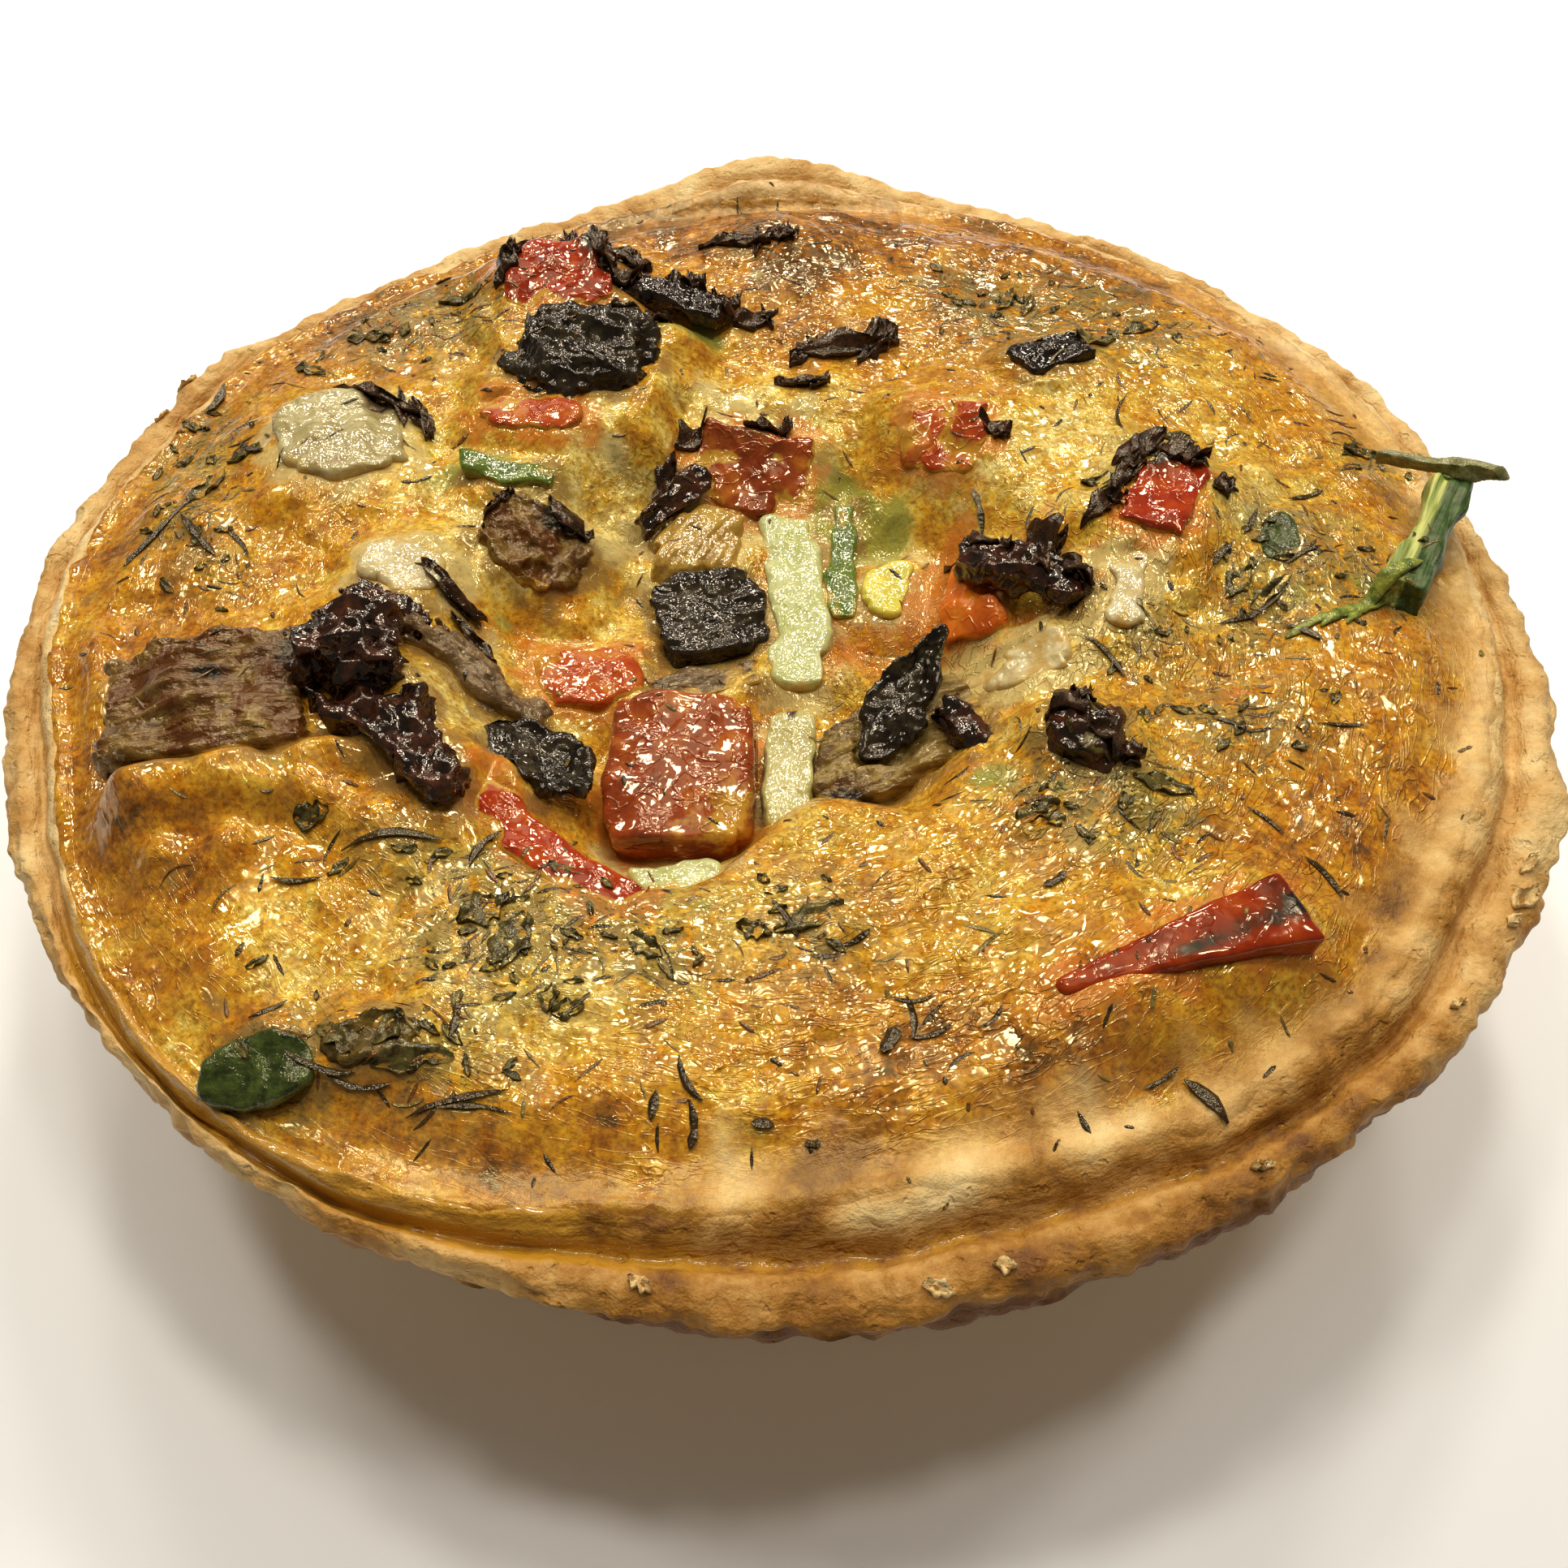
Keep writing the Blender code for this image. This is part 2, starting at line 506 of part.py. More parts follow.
def lay_right(tray):
    """The peppers, olive, leaf and stem of the right side, and the leaves at the front left."""
    tray.chunk("pepper_right", "pepper", (30.6, 3.8), (9.2, 6.0, 4.2), lift=1.3, turn=58, cells=(3, 2, 1))
    tray.chunk("onion_side", "onion", (26.6, -5.2), (8.6, 3.2, 2.2), lift=0.3, turn=75, cells=(3, 1, 1))
    tray.chunk("pepper_orange", "pepper", (16.4, -2.4), (8.2, 5.4, 3.4), lift=0.7, turn=84)
    tray.chunk("orange_char", "char", (18.8, -2.2), (11.4, 3.4, 2.4), turn=-40, lean=0.5, level=4.6,
               cells=(4, 1, 1), arch=0.6, ragged=0.22)
    tray.chunk("olive_curl", "char", (21.8, -20.8), (6.2, 5.4, 4.0), lift=1.4, cells=(3, 3, 2),
               plump=0.8, ragged=0.14)
    tray.chunk("pepper_wedge", "pepper", (25.6, -37.6), (17.4, 5.6, 4.4), lift=0.9, turn=199,
               cells=(5, 2, 1), taper=0.75, arch=0.5)
    tray.leaf("green_leaf", "green", (39.3, 0.6), (5.6, 4.4, 0.9), lift=0.8, turn=70, wave=0.3)
    tray.chunk("green_stem", "green", (51.4, 1.0), (17.4, 3.4, 3.0), turn=60.5, lean=0, level=5.3,
               cells=(4, 1, 1), plump=0.25, ragged=0.1)
    tray.chunk("stem_twig", "green", (53.6, 7.3), (11.6, 1.6, 1.6), turn=-37, pitch=-22, lean=0, level=6.9,
               cells=(4, 1, 1), ragged=0.12)
    tray.leaf("corner_leaf", "green", (-32.0, -45.1), (6.8, 5.2, 1.0), lift=0.8, turn=30, wave=0.4)
    tray.leaf("brown_leaf", "leek", (-25.1, -43.1), (6.4, 4.0, 0.9), lift=0.8, turn=12, wave=0.3)


# --- Fitting the pieces together --------------------------------------------------------------------


def apply_boolean(target, operation, others, label):
    """Cuts or joins target with all the others at once, then empties and removes their collection."""
    group = bpy.data.collections.new(label)
    bpy.context.scene.collection.children.link(group)
    for other in others:
        group.objects.link(other)
    boolean = target.modifiers.new(label, "BOOLEAN")
    boolean.operation = operation
    boolean.operand_type = "COLLECTION"
    boolean.collection = group
    boolean.solver = "EXACT"
    boolean.use_self = True     # the others may cross each other
    bpy.context.view_layer.objects.active = target
    bpy.ops.object.modifier_apply(modifier=boolean.name)
    for other in others:
        group.objects.unlink(other)
    bpy.data.collections.remove(group)


def keep_largest_body(target):
    """Drops the loose scraps that a cut leaves."""
    bm = bmesh.new()
    bm.from_mesh(target.data)
    bmesh.ops.remove_doubles(bm, verts=bm.verts[:], dist=0.01 * MM)
    bodies = []
    left = set(bm.verts)
    while left:
        reached = {left.pop()}
        front = list(reached)
        while front:
            for edge in front.pop().link_edges:
                for vert in edge.verts:
                    if vert in left:
                        left.remove(vert)
                        reached.add(vert)
                        front.append(vert)
        bodies.append(reached)
    largest = max(bodies, key=len)
    scraps = [vert for body in bodies if body is not largest for vert in body]
    bmesh.ops.delete(bm, geom=scraps, context="VERTS")
    bmesh.ops.triangulate(bm, faces=bm.faces[:])
    bm.to_mesh(target.data)
    bm.free()


def corners_of(item):
    points = np.array([tuple(corner) for corner in item.bound_box])
    return points.min(axis=0), points.max(axis=0)


def boxes_meet(one, other):
    low, high = corners_of(one)
    other_low, other_high = corners_of(other)
    return bool(np.all(low < other_high) and np.all(other_low < high))


def fit_together(tray, lower):
    """Each piece gives way to the pieces laid after it, and what lies lower gives way to them all."""
    for index, piece in enumerate(tray.pieces):
        above = [room for room in tray.rooms[index + 1:] if boxes_meet(piece, room)]
        if above:
            apply_boolean(piece, "DIFFERENCE", above, "laid_over")
            keep_largest_body(piece)
    for body in lower:
        apply_boolean(body, "DIFFERENCE", tray.rooms, "beds")
        keep_largest_body(body)


def needle_bmesh(length, place):
    """A dried herb needle: a slim block that narrows to its tip."""
    bm = bmesh.new()
    bmesh.ops.create_cube(bm, size=1.0)
    for vert in bm.verts:
        width = NEEDLE_WIDTH * (0.5 if vert.co.x > 0.0 else 1.0)
        vert.co = (length * vert.co.x, width * vert.co.y, NEEDLE_THICKNESS * vert.co.z)
    bmesh.ops.transform(bm, matrix=place, verts=bm.verts[:])
    return bm


def fuse_herbs(filling, spots, material):
    """Scatters needles in the herb beds, clear of the vegetables and each other, and joins them to the skin."""
    draw = np.random.default_rng(HERB_SEED)
    taken = list(spots)
    needles = []
    for bed_x, bed_y, spread, count in HERB_BEDS:
        for _ in range(count):
            x, y = np.array((bed_x, bed_y)) + spread * draw.normal(0.0, 0.6, 2)
            length = draw.uniform(*NEEDLE_LENGTHS)
            turn = draw.uniform(0.0, 180.0)
            place = seat(x, y, 0.15, turn, 0.0, draw.uniform(-5.0, 5.0))
            reach = 0.5 * length + HERB_CLEARANCE
            at = place.translation
            angle = math.degrees(math.atan2(at.y, at.x))
            off_edge = math.hypot(at.x, at.y) > 0.93 * edge_radius(angle) - 0.5 * length
            crowded = any(math.hypot(at.x - x0, at.y - y0) < reach + reach0 for x0, y0, reach0 in taken)
            if off_edge or crowded:
                continue
            taken.append((at.x, at.y, 0.2 * length))
            needles.append(add_object(f"needle_{len(needles):02d}", needle_bmesh(length, place), material))
    apply_boolean(filling, "UNION", needles, "herbs")
    for needle in needles:
        bpy.data.objects.remove(needle, do_unlink=True)
    keep_largest_body(filling)


def shade(item):
    """Smooth shading over the rounded forms, with the sharp folds kept."""
    item.data.shade_smooth()
    item.data.set_sharp_from_angle(angle=math.radians(SHARP_ANGLE))


def main():
    clear_scene()
    noise.seed_set(NOISE_SEED)
    materials = make_materials()
    crust = make_crust(materials["pastry"])
    filling = make_custard(materials["custard"])
    tray = Tray(materials)
    lay_middle(tray)
    lay_left(tray)
    lay_back(tray)
    lay_right(tray)
    fit_together(tray, (filling, crust))
    fuse_herbs(filling, tray.spots, materials["custard"])
    for room in tray.rooms:
        bpy.data.objects.remove(room, do_unlink=True)
    for item in (crust, filling, *tray.pieces):
        shade(item)


main()
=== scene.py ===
"""Mini quiche, finished for its portrait: flaky pastry, oily browned custard, roasted vegetables and herbs.

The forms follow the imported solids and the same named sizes: the base rests on Z = 0 with the origin at
its centre, and the serving side faces -Y. Lengths are in metres, written as millimetres times MM.
"""

import math

import bpy
import numpy as np
from mathutils import Matrix, Vector, noise
from mathutils.bvhtree import BVHTree
from mathutils.kdtree import KDTree


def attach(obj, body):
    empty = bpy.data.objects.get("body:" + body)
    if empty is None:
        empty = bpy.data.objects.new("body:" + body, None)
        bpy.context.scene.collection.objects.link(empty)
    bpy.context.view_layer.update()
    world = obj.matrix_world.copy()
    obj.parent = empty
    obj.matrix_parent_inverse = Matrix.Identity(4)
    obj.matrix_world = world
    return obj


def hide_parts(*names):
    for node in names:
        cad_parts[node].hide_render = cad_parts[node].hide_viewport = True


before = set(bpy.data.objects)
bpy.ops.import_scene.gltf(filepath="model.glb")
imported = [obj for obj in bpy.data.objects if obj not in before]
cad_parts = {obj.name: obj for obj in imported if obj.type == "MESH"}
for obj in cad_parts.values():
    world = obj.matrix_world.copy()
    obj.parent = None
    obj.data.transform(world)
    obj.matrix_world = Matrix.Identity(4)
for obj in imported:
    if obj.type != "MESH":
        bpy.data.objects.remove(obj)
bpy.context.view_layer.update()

MM = 0.001
SEED = 20
NOISE_REACH = 1.6           # brings soft noise to about -1 to 1

# --- Sizes of the pastry and the custard ---

RIM_LEVEL = 27.5 * MM       # height of the rim's widest line over the base
RIM_RADIUS = 60.0 * MM
BASE_RADIUS = 42.0 * MM
BASE_CHAMFER = 1.2 * MM
FLOOR_THICKNESS = 3.5 * MM
WELL_RADIUS = 38.5 * MM
WALL_TOP_INSET = 5.2 * MM
WALL_TOP_DROP = 3.9 * MM
UNDER_RIM = ((2.2, 3.3), (0.5, 1.9))        # inset from the rim and drop under it, in mm
UNDER_CUSTARD = ((1.0, 1.6), (2.2, 3.2))    # the same from the custard's edge, inwards
SHELL_SIDES = 1100
FLAKE_HEIGHT = 0.45 * MM
FLAKE_LENGTH = 5.0 * MM

# Rim section from its outer edge (0) to where the custard starts (1), with heights over the rim level.
RIM_SECTION = (
    (0.00, 0.0), (0.06, 1.1), (0.20, 1.7), (0.35, 1.4), (0.46, 0.5), (0.53, 0.6), (0.61, 2.0),
    (0.75, 2.7), (0.90, 2.7), (1.00, 2.1),
)
# Uneven places of the rim: angle, half width in degrees, outwards and upwards in mm.
RIM_SWELLS = (
    (90, 16, 0.9, 2.4), (128, 34, -1.6, -1.1), (160, 26, 0.5, -0.8), (50, 48, 0.0, -1.1),
    (4, 16, -0.9, -0.4), (318, 12, 0.9, 0.0), (337, 10, 0.9, 0.3), (272, 10, 0.1, -0.2),
    (148, 5, 0.9, 0.5), (153, 4, 1.0, 0.4), (329, 5, 1.0, -0.5), (257, 8, -0.5, 0.0),
)

EDGE_RADIUS = 54.0 * MM     # the mean line where custard meets pastry
EDGE_LEVEL = RIM_LEVEL + 2.0 * MM
PUFF_HEIGHT = 2.3 * MM
PUFF_SHAPE = (10, 0.6)      # how late the puffed ring bends down, and how round
# Uneven places of that line: angle, half width in degrees, outwards in mm.
EDGE_SWELLS = (
    (279, 34, -3.0), (230, 36, 4.0), (105, 44, -2.4), (180, 24, 2.0), (30, 34, 1.4), (332, 22, -1.2),
)
# The sunk middle, with a steeper side at the cliff's place: angle and half width in degrees.
SUNK_CENTRE = (-2.0 * MM, -4.0 * MM)
SUNK_RADIUS = 26.5 * MM
SUNK_DEPTH = 7.0 * MM
SUNK_SLOPE = 15.0 * MM
SUNK_CLIFF = 8.5 * MM
SUNK_CLIFF_PLACE = (285, 80)
SUNK_SWELLS = ((283, 22, -4.6), (250, 26, 4.0), (218, 20, 2.0), (316, 18, -2.2), (60, 60, 2.5))
# Humps and hollows of the skin: x, y, height and width in mm.
SKIN_LUMPS = (
    (0, 44, 1.6, 9), (-38, -25, 1.6, 6), (-27, -27, 1.2, 5), (-12, -38, 0.6, 7), (8, -31, 0.9, 7),
    (-45, 2, 0.9, 9), (28, -24, 1.1, 10), (45, -12, 0.9, 9), (36, 24, 0.8, 9), (-32, 31, 0.8, 8),
    (-2, 27, -1.9, 6), (9, 25, -1.3, 5), (-22, -8, -1.2, 6), (-30, 12, -0.8, 6), (-14, 12, 1.4, 6),
    (20, -26, 0.6, 7), (24, 12, 0.9, 6), (-18, -44, 0.7, 9), (20, -46, 0.6, 8),
)
SKIN_WAVE = 0.45 * MM
SKIN_WAVE_LENGTH = 8.0 * MM
SKIN_CELLS = 300            # quads across the custard's skin
EDGE_RUN = 2.0 * MM         # how far the skin runs over the inner roll of pastry
WARP = 0.55 * MM            # how far the vegetables' sides waver, and how long the waves are
WARP_LENGTH = 5.0 * MM
# Rings of the sheet's skirt behind the pastry's inner roll: level in the sheet, outwards and down in mm.
SKIRTS = ((-1.0, 0.4, 0.9), (-2.0, -0.3, 2.2), (-3.0, -6.0, 6.0))
LOOK_HEIGHT = 0.1           # from where the surfaces are looked at
COMB_RADIUS = 45.0 * MM     # where the wrinkles that run round the middle have their true length
COMB_SCALE = (0.5, 0.5, 0.32)   # stretches their places for the material
PASTRY_TOAST = 0.38         # how toasted plain pastry and the chips on it are, from 0 to 1
CHIP_TOAST = 0.34
HERB_HAZE = 0.17            # herb dust found all over the skin, from 0 to 1

# --- Where the oven and the herbs left their colours: x, y, spread in mm, strength ---

BROWNED = (
    (-50, -1, 5, 0.5), (-47, -10, 5, 0.3), (-46, -18, 6, 0.35), (-42, -29, 6, 0.4), (-37, -37, 6, 0.5),
    (-40, -26, 5, 0.15), (-28, -25, 5, 0.4), (-35, -24, 4, 0.35), (-22, -26, 4, 0.3), (-36, 32, 6, 0.4),
    (-28, 40, 6, 0.5), (-39, 26, 5, 0.4), (-4, 43, 7, 0.5), (6, 43, 7, 0.6), (17, 40, 7, 0.4),
    (27, 37, 7, 0.3), (-22, -49, 6, 0.5), (-16, -51, 5, 0.4), (7, -46, 7, 0.5), (13, -44, 6, 0.5),
    (17, -46, 6, 0.4), (22, -44, 6, 0.4), (36, -26, 6, 0.5), (43, -19, 6, 0.6), (48, -11, 6, 0.6),
    (39, -29, 5, 0.5), (35, -15, 4, 0.3), (0, 38, 5, 0.3), (-45, 3, 5, 0.3), (-21, -3, 4, 0.3),
    (-17, 3, 3, 0.3), (13, 4, 4, 0.5), (9, 0, 4, 0.4), (5, -6, 3, 0.5), (-2, -10, 3, 0.4),
    (44, 8, 5, 0.2), (49, 4, 4, 0.3), (8, -26, 5, 0.35), (14, -41, 5, 0.3), (33, 33, 8, 0.3),
    (-51, 8, 5, 0.4), (-49, 18, 5, 0.4),
)
CREAMY = (
    (-30, -34, 7, 0.5), (-20, -44, 5, 0.5), (-13, -42, 4, 0.4), (8, -33, 6, 0.3), (13, -38, 5, 0.3),
    (24, 17, 8, 0.4), (35, 19, 6, 0.4), (40, 12, 6, 0.5), (27, 10, 5, 0.5), (-4, 22, 6, 0.6),
    (-14, 9, 5, 0.8), (-31, 11, 6, 0.6), (-18, 10, 5, 0.6), (0, 19, 6, 0.6), (19, 7, 6, 0.5),
    (-23, 1, 5, 0.5), (-26, 26, 6, 0.3), (-20, -9, 6, 0.6), (-25, -13, 4, 0.6), (36, 7, 5, 0.5),
    (18, -9, 5, 0.6), (7, 22, 6, 0.3), (-19, -15, 4, 0.6), (-11, 26, 5, 0.3),
)
HERBED = (
    (22, -23, 4, 0.7), (25, -27, 4, 0.6), (19, -26, 4, 0.5), (-19, -32, 4, 0.6), (-21, -36, 4, 0.6),
    (-17, -37, 4, 0.5), (-26, -29, 3, 0.4), (27, 35, 5, 0.5), (32, 29, 6, 0.7), (21, 30, 5, 0.6),
    (-35, 30, 6, 0.6), (-29, 32, 6, 0.6), (-49, 13, 4, 0.7), (-48, 4, 4, 0.6), (-44, -1, 3, 0.3),
    (-30, -44, 4, 0.5), (-20, -45, 4, 0.5), (-14, -35, 4, 0.5), (-8, -37, 4, 0.6), (2, -35, 4, 0.6),
    (33, 11, 4, 0.5), (27, -9, 4, 0.5), (44, -2, 5, 0.6), (36, -7, 4, 0.6), (50, 12, 4, 0.5),
    (30, -18, 4, 0.4), (35, -18, 4, 0.5), (-50, 19, 4, 0.4), (17, 36, 4, 0.5), (40, 3, 5, 0.4),
)
# Purple-brown scorch along the front left edge, and painted shadow in the spots at x 21 and 18, y -43 and
# -42: x, y, spread, strength.
SCORCH_AND_SHADOW_SPOTS = (
    (-47, -27, 2.2, 0.6), (-45, -31, 2.4, 0.8), (-42, -35, 2.6, 0.8), (-39, -39, 2.4, 0.7),
    (-35, -43, 2.0, 0.5), (-20, -25, 1.4, 0.5), (-51, -14, 2.4, 0.4), (21, -43, 2.2, 0.6),
    (18, -42, 1.8, 0.4), (-24, -46, 2.2, 0.5), (-20, -48, 2.0, 0.4), (-10, 33, 3.0, 0.3),
)
# Colours that the vegetables gave to the custard round them, and a painted highlight among the pale patches:
# x, y, spread, strength.
OILED = (
    (11, 0, 3.6, 0.9), (15, 5, 2.8, 0.8), (6, -4, 2.2, 0.6), (19, 1, 2.0, 0.8), (9, -6, 1.8, 0.5),
    (4, -7, 1.7, 0.5), (22, 5, 1.6, 0.4), (-22, 17, 2.9, 0.7), (-18, 16, 1.9, 0.7), (-27, 37, 2.0, 0.6),
    (-23, 38, 1.7, 0.4), (-15, -7, 2.7, 0.5), (-20, -4, 1.5, 0.5), (-17, -1, 1.4, 0.4),
    (-10, -33, 1.6, 0.7), (-12, -32, 1.2, 0.5), (13, 19, 3.1, 0.4), (18, 13, 1.9, 0.5),
    (-9, 15, 1.5, 0.5), (28, 3, 1.7, 0.7), (25, -1, 1.4, 0.4), (33, -15, 1.4, 0.6), (48, -7, 2.1, 0.5),
    (44, -27, 2.2, 0.6), (29, -28, 1.2, 0.4), (2, 18, 1.4, 0.5), (-6, 13, 1.4, 0.3), (-14, 9, 1.2, 0.4),
    (-18, 13, 1.3, 0.3), (-3, -41, 1.3, 0.3), (-30, 5, 1.3, 0.5), (6, 11, 1.2, 0.2), (25, -35, 1.2, 0.3),
)
# Pale onion patches; left of the middle, round x -22, y 6, they paint a cream highlight.
PALE_AND_HIGHLIGHT_SPOTS = (
    (-5, 20, 3.0, 0.7), (1, 19, 2.6, 0.6), (-16, 5, 2.2, 0.9), (-18, 2, 1.6, 0.7), (-30, -2, 2.2, 1.0),
    (-24, 5, 1.5, 0.5), (-22, -6, 1.3, 0.7), (-20, 0, 1.3, 0.4), (15, -7, 2.3, 0.7), (13, -1, 1.5, 0.3),
    (19, -8, 1.8, 0.7), (27, -6, 1.6, 0.9), (26, -2, 1.3, 0.6), (-13, -25, 1.5, 0.6), (-6, 23, 2.1, 0.5),
    (-14, 13, 1.9, 0.6), (-17, 7, 1.7, 0.5), (4, 15, 2.1, 0.5), (-1, -21, 1.5, 0.4), (-2, 37, 2.0, 0.4),
    (13, 37, 1.8, 0.4), (16, 37, 1.5, 0.5), (6, 33, 1.8, 0.4), (-19, -7, 1.2, 0.5), (-26, 0, 1.3, 0.4),
    (24, 5, 1.2, 0.3), (-25, -5, 1.4, 0.5), (3, 21, 1.7, 0.5), (17, -13, 1.5, 0.5), (-14, 5, 1.7, 0.4),
    (-8, 7, 1.5, 0.3), (13, 9, 1.7, 0.3),
)
GREENED = (
    (6, 9, 3.6, 1.4), (4, 13, 3.0, 1.1), (9, 7, 2.2, 0.8), (10, 10, 1.7, 0.6), (-25, 11, 2.5, 0.9),
    (-28, 9, 1.8, 0.5), (-7, 30, 2.9, 0.8), (-10, 27, 1.9, 0.6), (15, -23, 1.9, 0.8), (19, -25, 1.5, 0.6),
    (13, -19, 1.2, 0.5), (39, 2, 1.7, 0.6), (35, -1, 1.5, 0.5), (-8, -32, 1.2, 0.9), (-5, -33, 1.2, 0.6),
    (41, -5, 2.1, 0.7), (46, -3, 1.7, 0.8), (38, -7, 1.4, 0.5), (-21, 10, 2.0, 0.5), (-11, 22, 1.8, 0.4),
    (-18, 10, 1.4, 0.4), (6, -12, 1.4, 0.4), (-14, 13, 1.3, 0.5), (-22, -4, 1.2, 0.6), (3, 2, 1.2, 0.5),
    (10, -12, 1.3, 0.5), (20, -17, 1.3, 0.3), (-21, -33, 1.3, 0.4), (-2, -33, 1.4, 0.3),
    (23, -19, 1.3, 0.3),
)
STREAKED = (
    (-21, 4, 1.8, 0.8), (-19, 0, 1.5, 0.7), (-13, 2, 1.8, 0.6), (-10, -6, 1.6, 0.5), (4, -3, 1.5, 0.5),
    (-4, 22, 1.8, 0.5), (-22, 5, 1.2, 0.5), (-18, -3, 1.2, 0.5), (-35, 9, 1.5, 0.6), (-33, 15, 1.4, 0.6),
    (3, -8, 1.2, 0.6), (9, -5, 1.2, 0.5), (-19, 26, 1.9, 0.6), (-15, 31, 1.8, 0.6), (-10, 31, 1.6, 0.5),
    (-4, 41, 1.9, 0.7), (4, 29, 1.2, 0.5), (-22, -26, 1.3, 0.4), (-32, -37, 1.2, 0.3), (8, -41, 1.2, 0.3),
    (17, -44, 2.0, 0.5), (21, -42, 1.5, 0.5), (12, -46, 1.7, 0.4), (-29, -22, 2.3, 0.5),
    (-25, -23, 1.7, 0.5), (-34, -25, 1.6, 0.5), (-45, -22, 1.3, 0.6), (-41, -31, 1.4, 0.6),
    (-36, -40, 1.5, 0.7), (-32, -44, 1.4, 0.5), (-54, -3, 1.5, 0.6), (-56, 7, 2.1, 0.4),
    (23, 54, 3.3, 0.5), (14, 56, 3.3, 0.5), (3, 48, 2.9, 0.5), (30, 47, 3.2, 0.4), (38, 42, 2.4, 0.4),
)

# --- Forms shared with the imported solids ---


def swell(angle, centre, half_width):
    """A smooth hump, 1 at its centre angle and 0 from half_width degrees away."""
    away = np.abs((angle - centre + 180.0) % 360.0 - 180.0) / half_width
    return np.maximum(0.0, 1.0 - away * away) ** 2


def smooth_step(low, high, value):
    """0 up to low, 1 from high on and smooth in between; low may be the larger of the two."""
    share = np.clip((value - low) / (high - low), 0.0, 1.0)
    return share * share * (3.0 - 2.0 * share)


def rim_radius(angle):
    return RIM_RADIUS + MM * sum(out * swell(angle, at, width) for at, width, out, _ in RIM_SWELLS)


def rim_lift(angle):
    return MM * sum(up * swell(angle, at, width) for at, width, _, up in RIM_SWELLS)


def edge_radius(angle):
    return EDGE_RADIUS + MM * sum(out * swell(angle, at, width) for at, width, out in EDGE_SWELLS)


def flat_places(x, y):
    """Places at height zero."""
    return np.stack([x, y, np.zeros_like(x)], axis=1)


def noise_at(places):
    return np.array([noise.noise(Vector(place)) for place in places])


def soft_noise(points, length, shift=0.0):
    """Smooth noise of about -1 to 1 at each point, with lumps of the given length."""
    return noise_at(np.asarray(points) / length + shift) * NOISE_REACH


def mottled(level, depth, places, length, shift):
    """A factor that wavers round its level, in lumps of the given length in mm."""
    return level + depth * soft_noise(places, length * MM, shift)


def creases(points, length, shift=0.0):
    """Rounded lumps with sharp creases between them, from -1 in a crease to 1."""
    return 3.2 * np.abs(soft_noise(points, length, shift)) - 1.0


def ridges(points, length, shift=0.0):
    """Hollows with sharp crests between them, from about -1 in a hollow to 1 on a crest."""
    return -creases(points, length, shift)


def warped(points):
    """Places moved sideways by a slow uneven drift, the same for every piece, so that cut sides waver."""
    drift = []
    for shift in (51.0, 55.0):
        fine = soft_noise(points, 0.45 * WARP_LENGTH, shift + 2.0)
        drift.append(soft_noise(points, WARP_LENGTH, shift) + 0.5 * fine)
    return points + WARP * flat_places(*drift)


def turned(away, turn):
    """Places seen from a frame that is turned about the vertical by an angle in radians."""
    cosine, sine = math.cos(turn), math.sin(turn)
    along = away[:, 0] * cosine + away[:, 1] * sine
    across = away[:, 1] * cosine - away[:, 0] * sine
    return np.stack([along, across, away[:, 2]], axis=1)


def patches(x, y, spots):
    """Sum of soft round patches given as x, y, spread in mm and strength."""
    total = np.zeros_like(x)
    for at_x, at_y, spread, strength in spots:
        away = ((x - at_x * MM) ** 2 + (y - at_y * MM) ** 2) / (spread * MM) ** 2
        total += strength * np.exp(-away)
    return total


def sunk_share(x, y):
    """How far the skin is sunk at a place seen from the sunk middle's centre: 1 on its floor, 0 outside."""
    angle = np.degrees(np.arctan2(y, x))
    brim = SUNK_RADIUS + MM * sum(out * swell(angle, at, width) for at, width, out in SUNK_SWELLS)
    slope = SUNK_SLOPE - SUNK_CLIFF * swell(angle, *SUNK_CLIFF_PLACE)
    return 1.0 - smooth_step(brim - slope, brim, np.hypot(x, y))


def skin_height(x, y):
    """Height of the custard's skin over the base: a puffed ring, a sunk middle, lumps and waves."""
    angle = np.degrees(np.arctan2(y, x))
    share = np.minimum(1.0, np.hypot(x, y) / edge_radius(angle))
    lateness, roundness = PUFF_SHAPE
    height = EDGE_LEVEL + PUFF_HEIGHT * (1.0 - share**lateness) ** roundness
    height -= SUNK_DEPTH * sunk_share(x - SUNK_CENTRE[0], y - SUNK_CENTRE[1])
    for at_x, at_y, lump, width in SKIN_LUMPS:
        away = np.hypot(x - at_x * MM, y - at_y * MM) / (width * MM)
        height += lump * MM * np.exp(-away * away)
    fade = 1.0 - smooth_step(0.85, 1.0, share)
    return height + SKIN_WAVE * noise_at(flat_places(x, y) / SKIN_WAVE_LENGTH) * fade


# --- Short helpers for objects ---


def places_of(item):
    points = np.empty(len(item.data.vertices) * 3)
    item.data.vertices.foreach_get("co", points)
    return points.reshape(-1, 3)


def normals_of(item):
    normals = np.empty(len(item.data.vertices) * 3)
    item.data.vertex_normals.foreach_get("vector", normals)
    return normals.reshape(-1, 3)


def move_to(item, points):
    item.data.vertices.foreach_set("co", np.ascontiguousarray(points, dtype=np.float32).ravel())
    item.data.update()


def paint(item, name, values):
    """Stores one number, or one vector, for each point, for the material to read."""
    values = np.asarray(values, dtype=np.float32)
    if values.ndim == 1:
        layer = item.data.attributes.new(name, "FLOAT", "POINT")
        layer.data.foreach_set("value", values)
    else:
        layer = item.data.attributes.new(name, "FLOAT_VECTOR", "POINT")
        layer.data.foreach_set("vector", values.ravel())


def stored_on(item, name):
    """The numbers that were painted on an item's points."""
    values = np.empty(len(item.data.vertices))
    item.data.attributes[name].data.foreach_get("value", values)
    return values


def deselect_all():
    bpy.ops.object.select_all(action="DESELECT")


def pick(item):
    deselect_all()
    item.select_set(True)
    bpy.context.view_layer.objects.active = item


